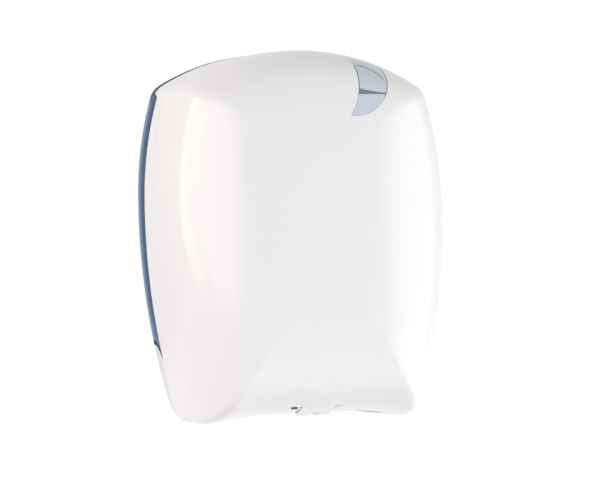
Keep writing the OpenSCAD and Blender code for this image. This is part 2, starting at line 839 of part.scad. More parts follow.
module latch_spring() {
    echo(spring_least_gap = spring_gap);
    points = [for (k = [0:spring_rings])
        let (turn = 360 * k / curl_rings, out = [cos(turn), sin(turn), 0])
        for (s = [0:wire_sides - 1])
            spring_line[k] + spring_wire_r * (out * cos(360 * s / wire_sides)
                + [0, 0, 1] * sin(360 * s / wire_sides))];
    walls = [for (k = [0:spring_rings - 1]) for (s = [0:wire_sides - 1])
        let (a = k * wire_sides + s, b = k * wire_sides + (s + 1) % wire_sides)
        each [[a, b, a + wire_sides], [b, b + wire_sides, a + wire_sides]]];
    first = [for (s = [1:wire_sides - 2]) [0, s + 1, s]];
    end = spring_rings * wire_sides;
    last = [for (s = [1:wire_sides - 2]) [end, end + s, end + s + 1]];
    color(steel) polyhedron(points, concat(walls, first, last));
}

// Hinge pins, arms and bushes, drawn on the right and mirrored to the left
pin_end = 1;

module pin_solid() {
    color(steel) rod_x(lug_in - pin_end, arm_out + pin_end, -hinge_y, hinge_z, pin_r);
}

module hinge_pin_left() {
    mirror([1, 0, 0]) pin_solid();
}

module hinge_pin_right() {
    pin_solid();
}

module arm_solid() {
    color(ivory)
        difference() {
            across(arm_in, arm_out)
                union() {
                    hinge_disc(eye_r);
                    for (p = arm_screw_at)
                        hull() {
                            hinge_disc(eye_r);
                            translate([-hinge_y - p[0], hinge_z + p[1]]) circle(arm_pad_r, $fn = 32);
                        }
                }
            rod_x(0, half_w, -hinge_y, hinge_z, bush_r);
            for (p = arm_screw_at)
                rod_x(0, half_w, -hinge_y - p[0], hinge_z + p[1], small_screw_r + small_screw_play);
        }
}

module hinge_arm_left() {
    mirror([1, 0, 0]) arm_solid();
}

module hinge_arm_right() {
    arm_solid();
}

module bush_solid() {
    color(grey)
        difference() {
            union() {
                rod_x(arm_in, arm_out, -hinge_y, hinge_z, bush_r);
                rod_x(arm_in - bush_flange_t, arm_in, -hinge_y, hinge_z, bush_r + bush_wall);
            }
            rod_x(0, half_w, -hinge_y, hinge_z, pin_r + pin_play);
        }
}

module hinge_bush_left() {
    mirror([1, 0, 0]) bush_solid();
}

module hinge_bush_right() {
    bush_solid();
}

module arm_screws() {
    color(steel)
        for (side = [0, 1])
            mirror([side, 0, 0])
                for (p = arm_screw_at)
                    translate([arm_in, -hinge_y - p[0], hinge_z + p[1]])
                        rotate([0, -90, 0]) small_screw(arm_t + small_screw_len);
}

// Front cover
underside_half = lug_out + underside_clear;

module underside_shape() {
    front = underside_front;
    corner = underside_corner_r;
    translate([-underside_half, -front + corner])
        square([2 * underside_half, front + past - corner]);
    translate([-underside_half + corner, -front])
        square([2 * (underside_half - corner), corner + fuse]);
    for (x = [-1, 1])
        translate([x * (underside_half - corner), -front + corner]) circle(corner);
}

module notch_shape() {
    half = tab_w / 2 + tab_gap;
    translate([-half, -tab_front])
        square([2 * half, tab_front - underside_front + fuse]);
    for (x = [-1, 1])
        polygon([[x * (half - fuse), -tab_front], [x * (half - fuse), -tab_front + wing_h],
            [x * (half + notch_wing), -tab_front + wing_h]]);
}
wing_h = notch_wing * 0.6;

// What the cover leaves to the rim and the wall, seen from the side
module rear_cut() {
    difference() {
        translate([-rim_depth - seam, -foot_h - past])
            square([rim_depth + seam + past, foot_h + top_h + 2 * past]);
        intersection() {
            hinge_disc(cheek_r);
            translate([-rim_depth - past, -foot_h - past])
                square([rim_depth + past - wall_gap, foot_h + top_h + 2 * past]);
            union() {
                hinge_disc(corner_r);
                translate([-rim_depth - past, -foot_h - past])
                    square([rim_depth + past - hinge_y, foot_h + past]);
                translate([-rim_depth - past, hinge_z])
                    square([rim_depth + 2 * past, foot_h + past]);
            }
        }
    }
}

module window_shape(more) {
    difference() {
        translate([window_x, window_z]) circle(window_r + more);
        translate([bite_x, bite_z]) circle(bite_r - more);
    }
}

module window_cut(more) {
    slab(window_back - more, cover_depth + past) window_shape(more);
}

// Bosses inside the cover, trimmed by its outer face
module cover_bosses() {
    for (side = [-1, 1]) {
        for (p = arm_screw_at)
            scale([side, 1, 1])
                rod_x(arm_out, half_w, -hinge_y - p[0], hinge_z + p[1], small_boss_r);
        rod_y(-flange_front, cover_depth + past, side * bracket_screw_x, bracket_screw_z, small_boss_r);
    }
}

module cover_boss_holes() {
    for (side = [-1, 1]) {
        for (p = arm_screw_at)
            scale([side, 1, 1])
                rod_x(0, arm_out + small_screw_len + blind, -hinge_y - p[0], hinge_z + p[1],
                    small_screw_r + small_screw_play);
        rod_y(0, -flange_front + small_screw_len, side * bracket_screw_x, bracket_screw_z,
            small_screw_r + small_screw_play);
    }
}

module front_cover() {
    color(white)
        resize([0, 0, 0])
            difference() {
                union() {
                    difference() {
                        form(0, 0);
                        form(cover_wall, -past);
                    }
                    intersection() {
                        form(fuse, 0);
                        cover_bosses($fn = 24);
                    }
                }
                across(-half_w - past, half_w + past) rear_cut();
                translate([0, 0, -foot_h - past])
                    linear_extrude(past + foot_h + roof_low) notch_shape();
                translate([0, 0, -foot_h - past])
                    linear_extrude(past + foot_h + shelf_z) underside_shape();
                window_cut(0);
                cover_boss_holes($fn = 24);
            }
}

// Level window: a flush lens with a flange against the cover's inner face
module level_window() {
    color(smoke, 0.6)
        resize([0, 0, 0])
            union() {
                intersection() {
                    difference() {
                        form(0, 0);
                        form(cover_wall + window_flange_t, -past);
                    }
                    window_cut(-window_gap);
                }
                intersection() {
                    difference() {
                        form(cover_wall, 0);
                        form(cover_wall + window_flange_t, -past);
                    }
                    window_cut(window_flange_w);
                }
            }
}

back_plate();
smoky_rim();
rim_screws();
roll_shelf();
shelf_screws();
outlet_cone();
cone_screws();
grip_star();
outlet_collar();
latch_keeper();
keeper_screws();
hinge_pin_left();
hinge_pin_right();
front_cover();
level_window();
hinge_arm_left();
hinge_arm_right();
hinge_bush_left();
hinge_bush_right();
arm_screws();
latch_bracket();
bracket_screws();
latch_pin();
latch_spring();
latch_tab();
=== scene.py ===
"""Looks of a wall dispenser for a centre-pulled paper roll, built round its packed solids."""

import json
import math
import random

import bmesh
import bpy
import numpy as np
from mathutils import Matrix, Vector
from mathutils.bvhtree import BVHTree
from mathutils.interpolate import poly_3d_calc


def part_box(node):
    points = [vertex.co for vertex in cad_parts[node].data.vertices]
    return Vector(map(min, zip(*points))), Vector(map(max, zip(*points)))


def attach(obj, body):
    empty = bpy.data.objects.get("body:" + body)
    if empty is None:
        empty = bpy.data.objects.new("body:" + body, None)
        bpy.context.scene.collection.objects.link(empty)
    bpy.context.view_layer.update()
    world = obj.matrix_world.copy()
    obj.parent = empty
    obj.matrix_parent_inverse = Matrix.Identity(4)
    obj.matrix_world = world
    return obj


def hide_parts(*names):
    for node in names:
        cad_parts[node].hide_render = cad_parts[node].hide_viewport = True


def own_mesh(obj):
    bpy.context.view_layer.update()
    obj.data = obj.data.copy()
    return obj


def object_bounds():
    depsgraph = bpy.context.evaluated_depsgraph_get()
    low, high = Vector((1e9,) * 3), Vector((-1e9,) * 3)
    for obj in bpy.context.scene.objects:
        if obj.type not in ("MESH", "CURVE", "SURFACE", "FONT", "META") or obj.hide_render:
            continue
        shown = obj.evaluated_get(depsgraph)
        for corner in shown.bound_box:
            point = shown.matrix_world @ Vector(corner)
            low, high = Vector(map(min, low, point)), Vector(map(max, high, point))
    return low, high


bl_info = {
    "name": "Centrefeed roll dispenser",
    "version": (1, 0, 0),
    "blender": (4, 5, 0),
    "location": "3D View > Sidebar > Dispenser",
    "description": "Builds the cover, rim, window, latch and fittings of a wall dispenser",
    "category": "Object",
}

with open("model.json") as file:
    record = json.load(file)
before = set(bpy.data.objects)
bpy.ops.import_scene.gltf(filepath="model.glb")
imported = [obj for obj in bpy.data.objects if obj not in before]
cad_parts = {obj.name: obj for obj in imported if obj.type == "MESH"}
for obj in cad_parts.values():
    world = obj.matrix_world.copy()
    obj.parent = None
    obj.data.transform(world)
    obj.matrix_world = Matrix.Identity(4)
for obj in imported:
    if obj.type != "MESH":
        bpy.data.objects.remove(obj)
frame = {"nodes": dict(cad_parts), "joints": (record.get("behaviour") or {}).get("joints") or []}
CAD_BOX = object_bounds()
HINGE = Vector(next(j["pos_m"] for j in frame["joints"] if j["name"] == "cover_hinge"))
# How far tools reach past the part, the weld distance and the gap between faces that would touch
PAST = 0.06
TINY = 1e-6
FACE_GAP = 5e-5


def number(**kind):
    """A kind of setting, which takes a name, a text that goes on from it and a default."""
    return lambda name, text, value: bpy.props.FloatProperty(
        name=name, description=f"{name} {text}", default=value, **kind)


# Sizes and places in metres, and plain numbers
length = number(min=0.0, unit="LENGTH", precision=5)
place = number(unit="LENGTH", precision=5)
amount = number(min=0.0, precision=4)


def degrees(name, text, value):
    """An angle, given in degrees."""
    return number(subtype="ANGLE")(name, text, math.radians(value))


def colour(name, text, value):
    """A linear colour."""
    return bpy.props.FloatVectorProperty(
        name=name, description=f"{name} {text}", default=value, subtype="COLOR", size=3,
        min=0.0, max=1.0)


class OutlineSizes(bpy.types.PropertyGroup):
    """The body's outline, seen from the front."""
    body_w: length("Width", "at the widest level", 0.256)
    shoulder_h: length("Shoulder height", "over the widest level", 0.100)
    arch_rise: length("Arch rise", "over the upper corners", 0.035)
    foot_h: length("Foot depth", "below the widest level", 0.217)
    bottom_arch: length("Bottom arch", "at the middle of the bottom edge", 0.0075)
    bottom_flatness: amount("Bottom flatness", "between the lower corners", 3.5)
    side_r_up: length("Upper side radius", "over the widest level", 0.358)
    side_r_low: length("Lower side radius", "below the widest level", 0.730)
    shoulder_round: length("Shoulder blend", "at the upper corners", 0.007)
    foot_round: length("Foot blend", "at the lower corners", 0.008)


class CoverSizes(bpy.types.PropertyGroup):
    """The bulging cover."""
    cover_depth: length("Depth", "from the wall to the middle of the front", 0.227)
    cover_wall: length("Wall", "of the moulded cover", 0.0026)
    front_lean: length("Lean", "of the front over the lean height", 0.029)
    lean_height: length("Lean height", "over which the front gains its extra depth", 0.150)
    bottom_rise: length("Underside rise", "from the wall to the front", 0.038)
    side_squareness: amount("Side squareness", "in plan", 4.6)
    top_squareness: amount("Top squareness", "in profile", 7.5)
    bottom_squareness: amount("Underside squareness", "in profile", 5.9)
    panel_r: length("Panel radius", "of the rounded sides, in plan", 0.1385)
    panel_x: length("Panel centre", "from the middle", 0.0206)
    panel_y: length("Panel depth", "of its centre from the wall", 0.0926)
    panel_soft: length("Panel softness", "at its edges", 0.0012)


class RimSizes(bpy.types.PropertyGroup):
    """The smoky rim and the cheeks below it."""
    rim_depth: length("Rim depth", "from the wall", 0.046)
    rim_wall: length("Rim wall", "thickness", 0.0028)
    rim_edge: length("Rim edge", "roundness", 0.0007)
    flange_w: length("Flange width", "inside the rim", 0.011)
    flange_t: length("Flange thickness", "inside the rim", 0.0025)
    plate_t: length("Plate thickness", "at the wall", 0.003)
    seam: length("Seam", "between the rim and the closed cover", 0.0006)
    wall_gap: length("Wall gap", "behind the cheeks", 0.0008)
    cheek_r: length("Cheek radius", "about the hinge", 0.056)
    top_depth: length("Top depth", "of the rim, where the cover reaches back", 0.022)
    step_z: place("Step height", "above which the cover reaches back over the rim", 0.093)
    step_rise: length("Step rise", "towards the wall", 0.004)


class OpeningSizes(bpy.types.PropertyGroup):
    """The cover's openings."""
    underside_half: length("Underside half width", "of the opening", 0.0743)
    underside_front: length("Underside front", "of the opening, from the wall", 0.178)
    underside_corner: length("Underside corner", "radius", 0.030)
    underside_top: place("Underside top", "up to which the openings cut", -0.150)
    notch_half: length("Notch half width", "for the tab", 0.0158)
    notch_front: length("Notch front", "from the wall", 0.214)
    wing_w: length("Wing width", "of the small openings beside the tab", 0.007)
    wing_h: length("Wing depth", "of the small openings beside the tab", 0.0042)
    # The slit is a shallow pocket painted dark grey as shade in a gap beside the tab
    slit_x: place("Slit place", "sideways, beside the tab", -0.0207)
    slit_w: length("Slit width", "beside the tab", 0.0056)
    slit_lean: length("Slit lean", "of its front edge to the left", 0.0025)
    slit_front: length("Slit front", "from the wall", 0.2138)
    slit_len: length("Slit length", "towards the wall", 0.0078)
    slit_depth: length("Slit depth", "in the cover's wall", 0.0015)
    window_x: place("Window place", "sideways, of its outer disc", 0.031)
    window_z: place("Window height", "of its outer disc", 0.1115)
    window_r: length("Window radius", "of its outer disc", 0.035)
    bite_x: place("Bite place", "sideways, of the disc that bites into the window", -0.0215)
    bite_z: place("Bite height", "of the disc that bites into the window", 0.109)
    bite_r: length("Bite radius", "of the disc that bites into the window", 0.059)
    window_back: length("Window rear", "edge, from the wall", 0.165)
    window_gap: length("Window gap", "round the lens", 0.00025)
    window_flange_w: length("Lens flange width", "inside the cover", 0.004)
    window_flange_t: length("Lens flange thickness", "inside the cover", 0.0014)
    # Sizes of the window's dark band and lines, which are painted shade
    band_low: place("Band level", "of the dark band's lower edge", 0.0953)
    band_left: length("Band height left", "in the window", 0.0068)
    band_right: length("Band height right", "in the window", 0.0012)
    bend_r: length("Bend radius", "of the thin dark line in the window", 0.03325)
    line_w: length("Line width", "of the dark lines in the window", 0.0009)


class FittingSizes(bpy.types.PropertyGroup):
    """Screws, spring and softened edges."""
    moulded_edge: length("Moulded edge", "roundness", 0.0004)
    steel_edge: length("Steel edge", "roundness", 0.0002)
    boss_r: length("Boss radius", "for the cover's screws", 0.004)
    boss_hole_r: length("Boss hole radius", "for the screws", 0.00165)
    boss_sink: length("Boss sink", "below the cover's outer face", 0.0002)
    head_r: length("Head radius", "of a screw", 0.003)
    head_h: length("Head height", "of a screw", 0.0018)
    shank_r: length("Shank radius", "of a screw's thread", 0.0015)
    thread_pitch: length("Thread pitch", "from one turn to the next", 0.0011)
    thread_depth: amount("Thread depth", "as a share of the shank's radius", 0.24)
    recess_w: length("Recess width", "of each arm of the cross", 0.0008)
    wire_r: length("Wire radius", "of the spring", 0.00045)
    coil_r: length("Coil radius", "of the spring", 0.0032)
    coil_turns: amount("Coil turns", "of the spring", 5.0)
    spring_keep: amount("Pressed spring", "as a share of its length", 0.73)


class FinishColours(bpy.types.PropertyGroup):
    """Colours of the finishes."""
    cover_white: colour("Cover white", "of the cover and tab", (0.82, 0.82, 0.835))
    body_white: colour("Body white", "of the plate and outlet", (0.76, 0.75, 0.735))
    inner_ivory: colour("Inner ivory", "of the shelf and brackets", (0.68, 0.66, 0.62))
    smoky_blue: colour("Smoky blue", "that smoky plastic lets through", (0.307, 0.5, 0.727))
    smoky_density: amount("Smoke density", "per metre of depth", 150.0)
    smoky_gloss: colour("Smoky gloss", "tint of reflections", (0.28, 0.37, 0.46))
    rim_milk: colour("Rim haze", "that the rim scatters", (0.165, 0.27, 0.4))
    # Painted shade along the rim's top, painted light in a paler mottle on its lower part and
    # painted shade at its lower ends
    rim_top: colour("Rim top", "along the top", (0.07, 0.083, 0.1))
    rim_pale: colour("Rim mottle", "in the lower part", (0.42, 0.52, 0.62))
    rim_end: colour("Rim end", "at the lower ends", (0.05, 0.06, 0.08))
    window_milk: colour("Window haze", "that the window scatters", (0.82, 0.89, 1.0))
    # Painted shade in the window's dark band and lines
    band_milk: colour("Band haze", "that the window's dark bands scatter", (0.2, 0.24, 0.3))
    steel: colour("Steel", "with a zinc coat", (0.62, 0.63, 0.65))
    # This grey is the star's and bushes' rubber and also paints shade into the slit beside the tab
    rubber_grey: colour("Rubber grey", "of the star and bushes", (0.16, 0.17, 0.18))


class StageSizes(bpy.types.PropertyGroup):
    """Camera and floor."""
    azimuth: degrees("Azimuth", "of the camera, to the right", -13.21)
    elevation: degrees("Elevation", "of the camera", 3.45)
    distance: length("Distance", "of the camera from its target", 1.423)
    target_y: place("Target", "depth for the camera", -0.100)
    focal_px: amount("Focal length", "in pixels of the photo's frame", 1535.8)
    target_px_x: amount("Target across", "the frame, in pixels", 289.92)
    target_px_y: amount("Target down", "the frame, in pixels", 197.86)
    floor_drop: length("Floor drop", "below the widest level", 1.1)


SETTINGS = {
    "outline": OutlineSizes, "cover": CoverSizes, "rim": RimSizes, "openings": OpeningSizes,
    "fittings": FittingSizes, "colours": FinishColours, "stage": StageSizes,
}
PREFIX = "dispenser_"


def chosen(group):
    """A group of settings as they are in the scene."""
    return getattr(bpy.context.scene, PREFIX + group)


# The body's form

# Steps of the outline's parts, steps from the rim to the front, and how they gather at the edges
RING_STEPS = {"bottom": 30, "corner": 18, "side": 64, "top": 44}
FORM_STEPS = 76
FORM_POWER = 5


def sag(u, r):
    """How far an arc has fallen at a distance from its top."""
    return r - np.sqrt(r * r - u * u)


def bend(a, c, b, steps):
    """Points of a quadratic curve from a to b with its control point at c, b left out."""
    t = (np.arange(steps) / steps)[:, None]
    a, b, c = np.array(a), np.array(b), np.array(c)
    return (1 - t) ** 2 * a + 2 * t * (1 - t) * c + t ** 2 * b


def outline():
    """The closed outline from the front, from the bottom's middle up the right side and round."""
    o = chosen("outline")
    half = o.body_w / 2

    def side_x(z):
        z = np.asarray(z, float)
        return half - np.where(z > 0, sag(z, o.side_r_up), sag(z, o.side_r_low))

    shoulder_x = float(side_x(o.shoulder_h))
    foot_x = float(side_x(-o.foot_h))
    arch_r = (shoulder_x ** 2 + o.arch_rise ** 2) / (2 * o.arch_rise)

    def top_z(x):
        return o.shoulder_h + o.arch_rise - sag(x, arch_r)

    def bottom_z(x):
        return -o.foot_h + o.bottom_arch * (1 - (x / foot_x) ** o.bottom_flatness)

    n = RING_STEPS
    x_low = foot_x - o.foot_round
    z_low = -o.foot_h + o.foot_round
    x_top = shoulder_x - o.shoulder_round
    z_top = o.shoulder_h - o.shoulder_round
    xs = np.linspace(0, x_low, n["bottom"], endpoint=False)
    zs = np.linspace(z_low, z_top, n["side"], endpoint=False)
    xt = np.linspace(x_top, 0, n["top"] + 1)
    right = np.concatenate([
        np.c_[xs, bottom_z(xs)],
        bend((x_low, bottom_z(x_low)), (foot_x, -o.foot_h), (float(side_x(z_low)), z_low),
             n["corner"]),
        np.c_[side_x(zs), zs],
        bend((float(side_x(z_top)), z_top), (shoulder_x, o.shoulder_h), (x_top, top_z(x_top)),
             n["corner"]),
        np.c_[xt, top_z(xt)],
    ])
    left = right[-2:0:-1] * np.array([-1, 1])
    return np.concatenate([right, left])


def inset(points, wall):
    """The outline moved inwards by a wall."""
    run = np.roll(points, -1, 0) - np.roll(points, 1, 0)
    run /= np.linalg.norm(run, axis=1)[:, None]
    return points + wall * np.c_[-run[:, 1], run[:, 0]]


def form_rings(wall):
    """Rings of the cover's form from the rim to near the middle of the front, and that middle."""
    o, c, rim = chosen("outline"), chosen("cover"), chosen("rim")
    ring = inset(outline(), wall) if wall else outline()
    depth = c.cover_depth - wall
    levels = np.sin(0.5 * np.pi * np.arange(FORM_STEPS) / FORM_STEPS) ** (2 / FORM_POWER)

    def round_off(t, power):
        return (1 - t ** power) ** (1 / power)

    def level(points, t):
        low = round_off(t, c.bottom_squareness) * (1 - c.bottom_rise / o.foot_h * t)
        x = points[:, 0] * round_off(t, c.side_squareness)
        z = points[:, 1] * np.where(points[:, 1] > 0, round_off(t, c.top_squareness), low)
        lean = c.front_lean * z / c.lean_height
        y = -rim.rim_depth - t * (depth - rim.rim_depth - lean)
        # The panels are upright rounds that take off the bulging edges
        across = np.maximum(np.abs(x) - c.panel_x, 0)
        ahead = lean - y - c.panel_y
        reach = np.maximum(np.hypot(across, ahead), c.panel_soft)
        cut = c.panel_soft * np.log1p(np.exp((reach - c.panel_r + wall) / c.panel_soft)) / reach
        return np.c_[x - np.sign(x) * across * cut, y + ahead * cut, z]

    rings = [level(ring, t) for t in levels]
    return ring, rings, level(np.zeros((1, 2)), 1.0)[0]


def form_mesh(name, wall, back):
    """The cover's form as a closed solid that starts at a distance behind the wall plane."""
    ring, rings, tip = form_rings(wall)
    n = len(ring)
    rear = np.c_[ring[:, 0], np.full(n, back), ring[:, 1]]
    points = np.concatenate([rear, *rings, tip[None]])
    faces = []
    for k in range(len(rings)):
        faces += between_rows(k * n, (k + 1) * n, n)
    last = len(rings) * n
    faces += [(last + i, last + n, last + (i + 1) % n) for i in range(n)]
    faces += [tuple(dict.fromkeys((i, i + 1, n - i - 1, (n - i) % n))) for i in range(n // 2)]
    return mesh_from(name, points, faces)


# Meshes

ROD_STEPS = 36
SHARP = math.radians(32)
# Slack beside an outline, how near a face lies to its form and how well their normals agree
NEAR = 2e-5
FACE_NEAR = 20 * NEAR
ALIGNED = 0.9
# Rounds of easing of a form's normals, and how far the wall behind the first ring turns to the rear
EASE_ROUNDS = 14
REAR_TURN = 0.45
# Edges of packed solids: what counts as flat, what gets rounded, and in how many steps
FLAT = math.radians(0.5)
ROUNDED = math.radians(40)
EDGE_STEPS = 2
FLAT_WEIGHT = 100


def mesh_from(name, points, faces):
    """A closed mesh whose faces look outwards."""
    mesh = bpy.data.meshes.new(name)
    mesh.from_pydata([tuple(map(float, p)) for p in points], [], faces)
    bm = bmesh.new()
    bm.from_mesh(mesh)
    bmesh.ops.recalc_face_normals(bm, faces=bm.faces)
    if bm.calc_volume(signed=True) < 0:
        bmesh.ops.reverse_faces(bm, faces=bm.faces)
    bm.to_mesh(mesh)
    bm.free()
    return mesh


def between_rows(a, b, n):
    """Faces between two closed rows of n points, whose first points are a and b."""
    return [(a + i, b + i, b + (i + 1) % n, a + (i + 1) % n) for i in range(n)]


def prism(name, points, axis, low, high):
    """A solid from a flat outline along X (points are y, z), along Y (x, z) or along Z (x, y)."""
    def spot(p, h):
        return {"x": (h, p[0], p[1]), "y": (p[0], h, p[1]), "z": (p[0], p[1], h)}[axis]

    n = len(points)
    verts = [spot(p, h) for h in (low, high) for p in points]
    faces = [tuple(range(n)), tuple(range(n, 2 * n))]
    faces += [(i, (i + 1) % n, n + (i + 1) % n, n + i) for i in range(n)]
    return mesh_from(name, verts, faces)


def arc(centre, r, start, end, steps):
    """Points of an arc from one angle to another, in degrees."""
    a = np.radians(np.linspace(start, end, steps + 1))
    return np.c_[centre[0] + r * np.cos(a), centre[1] + r * np.sin(a)]


def rod(axis, centre, r, low, high):
    """A round bar along an axis, through a centre given as the two other coordinates."""
    return prism("rod", arc(centre, r, 0, 360, ROD_STEPS)[:-1], axis, low, high)


def join_meshes(name, meshes):
    """One mesh from several, which are removed."""
    bm = bmesh.new()
    for mesh in meshes:
        bm.from_mesh(mesh)
        bpy.data.meshes.remove(mesh)
    joined = bpy.data.meshes.new(name)
    bm.to_mesh(joined)
    bm.free()
    return joined


def islands(mesh):
    """The separate solids of a mesh, each as an array of its points."""
    bm = bmesh.new()
    bm.from_mesh(mesh)
    bmesh.ops.remove_doubles(bm, verts=bm.verts, dist=TINY)
    left = set(bm.verts)
    found = []
    for first in bm.verts:
        if first not in left:
            continue
        left.remove(first)
        todo, points = [first], []
        while todo:
            v = todo.pop()
            points.append(tuple(v.co))
            for w in [e.other_vert(v) for e in v.link_edges]:
                if w in left:
                    left.remove(w)
                    todo.append(w)
        found.append(np.array(points))
    bm.free()
    return sorted(found, key=lambda points: tuple(np.round(points.mean(0), 4)))


def screw_spots(node):
    """Each screw of a packed node: its head's seat, the way that points and its shank's length."""
    head_h = chosen("fittings").head_h
    spots = []
    for points in islands(frame["nodes"][node].data):
        low, high = points.min(0), points.max(0)
        middle = (low + high) / 2
        k = int(np.argmax(high - low))
        reach = np.linalg.norm(np.delete(points - middle, k, 1), axis=1)
        upper = points[:, k] > middle[k]
        along = np.zeros(3)
        along[k] = 1 if reach[upper].max() > reach[~upper].max() else -1
        tall = (high - low)[k]
        spots.append((Vector(middle + along * (tall / 2 - head_h)), Vector(along), tall - head_h))
    return spots


def add_object(name, data):
    obj = bpy.data.objects.new(name, data)
    bpy.context.scene.collection.objects.link(obj)
    return obj


def settle(obj):
    """Turns an object's live modifiers into its plain mesh."""
    depsgraph = bpy.context.evaluated_depsgraph_get()
    mesh = bpy.data.meshes.new_from_object(obj.evaluated_get(depsgraph))
    old = obj.data
    obj.modifiers.clear()
    obj.data = mesh
    bpy.data.meshes.remove(old)
    mesh.name = obj.name
    return obj


def changed(obj, kind, **settings):
    """An object after one modifier."""
    modifier = obj.modifiers.new(kind.lower(), kind)
    for key, value in settings.items():
        setattr(modifier, key, value)
    return settle(obj)


def combine(obj, operation, *tools):
    """Cuts, joins or trims an object with tool meshes, which are then removed."""
    for mesh in tools:
        tool = add_object("tool", mesh)
        changed(obj, "BOOLEAN", object=tool, operation=operation, solver="EXACT")
        bpy.data.objects.remove(tool)
        bpy.data.meshes.remove(mesh)
        if not obj.data.polygons:
            raise RuntimeError(f"{obj.name}: nothing is left after {operation}")


def combined(mesh, operation, tool):
    """A mesh that a tool mesh has cut or trimmed."""
    obj = add_object(mesh.name, mesh)
    combine(obj, operation, tool)
    mesh = obj.data
    bpy.data.objects.remove(obj)
    return mesh


def shade(obj):
    """Smooth shading that breaks at sharp edges."""
    bm = bmesh.new()
    bm.from_mesh(obj.data)
    for f in bm.faces:
        f.smooth = True
    for e in bm.edges:
        e.smooth = len(e.link_faces) == 2 and e.calc_face_angle(0.0) < SHARP
    bm.to_mesh(obj.data)
    bm.free()
    return obj


def follow_forms(obj, *forms):
    """Gives faces on a smooth form that form's normals, so cuts leave no ripple in the gloss.
    Each form is a mesh, its normals and a sign, which is -1 where the faces look the other way."""
    mesh = obj.data
    normals = np.zeros((len(mesh.loops), 3))
    for form, vertex_normals, sign in forms:
        points = [v.co.copy() for v in form.vertices]
        faces = [tuple(p.vertices) for p in form.polygons]
        tree = BVHTree.FromPolygons(points, faces)
        known = {}
        for p in mesh.polygons:
            _, normal, _, away = tree.find_nearest(p.center)
            if away > FACE_NEAR or sign * normal.dot(p.normal) < ALIGNED:
                continue
            for li in p.loop_indices:
                vi = mesh.loops[li].vertex_index
                if vi not in known:
                    spot, _, face, _ = tree.find_nearest(mesh.vertices[vi].co)
                    weights = poly_3d_calc([points[c] for c in faces[face]], spot)
                    known[vi] = sign * np.dot(weights, vertex_normals[list(faces[face])])
                normals[li] = known[vi]
        bpy.data.meshes.remove(form)
    lengths = np.linalg.norm(normals, axis=1)
    normals[lengths > 0] /= lengths[lengths > 0][:, None]
    mesh.normals_split_custom_set([tuple(v) for v in normals])


def smooth_form(wall, sign):
    """The uncut form, its normals, eased over its soft edges, and the sign that goes with it."""
    mesh = form_mesh("form", wall, 0.0)
    n = len(outline())
    normals = np.array([v.normal for v in mesh.vertices])
    edges = np.array([e.vertices for e in mesh.edges])
    edges = edges[edges.min(axis=1) >= n]
    for _ in range(EASE_ROUNDS):
        total = normals.copy()
        np.add.at(total, edges[:, 0], normals[edges[:, 1]])
        np.add.at(total, edges[:, 1], normals[edges[:, 0]])
        normals = total / np.linalg.norm(total, axis=1)[:, None]
    normals[:n] = normals[n:2 * n] + np.array([0, REAR_TURN, 0])
    normals[:n] /= np.linalg.norm(normals[:n], axis=1)[:, None]
    return mesh, normals, sign


def softened(node, width):
    """A copy of a packed solid with rounded edges, which stands for it."""
    bm = bmesh.new()
    bm.from_mesh(frame["nodes"][node].data)
    bmesh.ops.remove_doubles(bm, verts=bm.verts, dist=TINY)
    bmesh.ops.dissolve_limit(
        bm, angle_limit=FLAT, verts=bm.verts, edges=bm.edges, use_dissolve_boundaries=False)
    mesh = bpy.data.meshes.new(node + "_soft")
    bm.to_mesh(mesh)
    bm.free()
    obj = add_object(node + "_soft", mesh)
    shade(changed(obj, "BEVEL", width=width, segments=EDGE_STEPS, limit_method="ANGLE",
                  angle_limit=ROUNDED, use_clamp_overlap=True))
    # Large flat faces keep their own normals beside the rounded edges
    return changed(obj, "WEIGHTED_NORMAL", mode="FACE_AREA", weight=FLAT_WEIGHT, keep_sharp=True)


def place_material(mesh, places):
    mesh.polygons.foreach_set("material_index", places)


def finish_piece(obj, finish, body, slot, *nodes, second=None):
    """Gives a piece its finish and body, and hides the packed nodes it stands for.
    A second finish goes to the faces that already have the second place. The slot is not used."""
    mesh = obj.data
    places = [int(bool(second and p.material_index)) for p in mesh.polygons]
    mesh.materials.clear()
    mesh.materials.append(finish_named(finish))
    if second:
        mesh.materials.append(finish_named(second))
    place_material(mesh, places)
    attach(obj, body)
    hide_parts(*nodes)


# Materials

# Most of a noise lies between these values
NOISE_SPAN = (0.3, 0.7)
# Stretch of the steel's grain, and the input that most plastics share
GRAIN = (1, 1, 0.2)
PLASTIC = {"IOR": 1.5}
# Tone, its variation and noise, roughness and its noise, relief's depth and noise, other inputs
SOLID_FINISHES = {
    "gloss_white": ("cover_white", 0.006, (9,), (0.2, 0.25), (40,), 1.2e-5, (420, 2), PLASTIC),
    "satin_white": ("body_white", 0.01, (14,), (0.38, 0.48), (90,), 3e-5, (1500, 4), PLASTIC),
    "satin_ivory": ("inner_ivory", 0.012, (14,), (0.42, 0.52), (90,), 3e-5, (1500, 4), PLASTIC),
    "zinc_steel": ("steel", 0.06, (160,), (0.26, 0.42), (700, 4, GRAIN), 1e-5, (2200, 3, GRAIN),
                   {"Metallic": 1.0}),
    "grey_rubber": ("rubber_grey", 0.08, (60,), (0.55, 0.72), (300,), 4e-5, (2500, 4),
                    {"IOR": 1.45}),
}
# Share of milky scatter in each see-through finish, and what these finishes have in common
MILKINESS = {"smoky_plastic": 0.3, "window_plastic": 0.7, "window_band": 0.9}
CLEAR_IOR, CLEAR_ROUGH = 1.49, (0.07, 0.12)
CLOUD_NOISE, CLOUD_DARK = (60,), 0.985
RIPPLE_NOISE, RIPPLE_DEPTH = (260, 2), 6e-6
WHITE = (1, 1, 1)
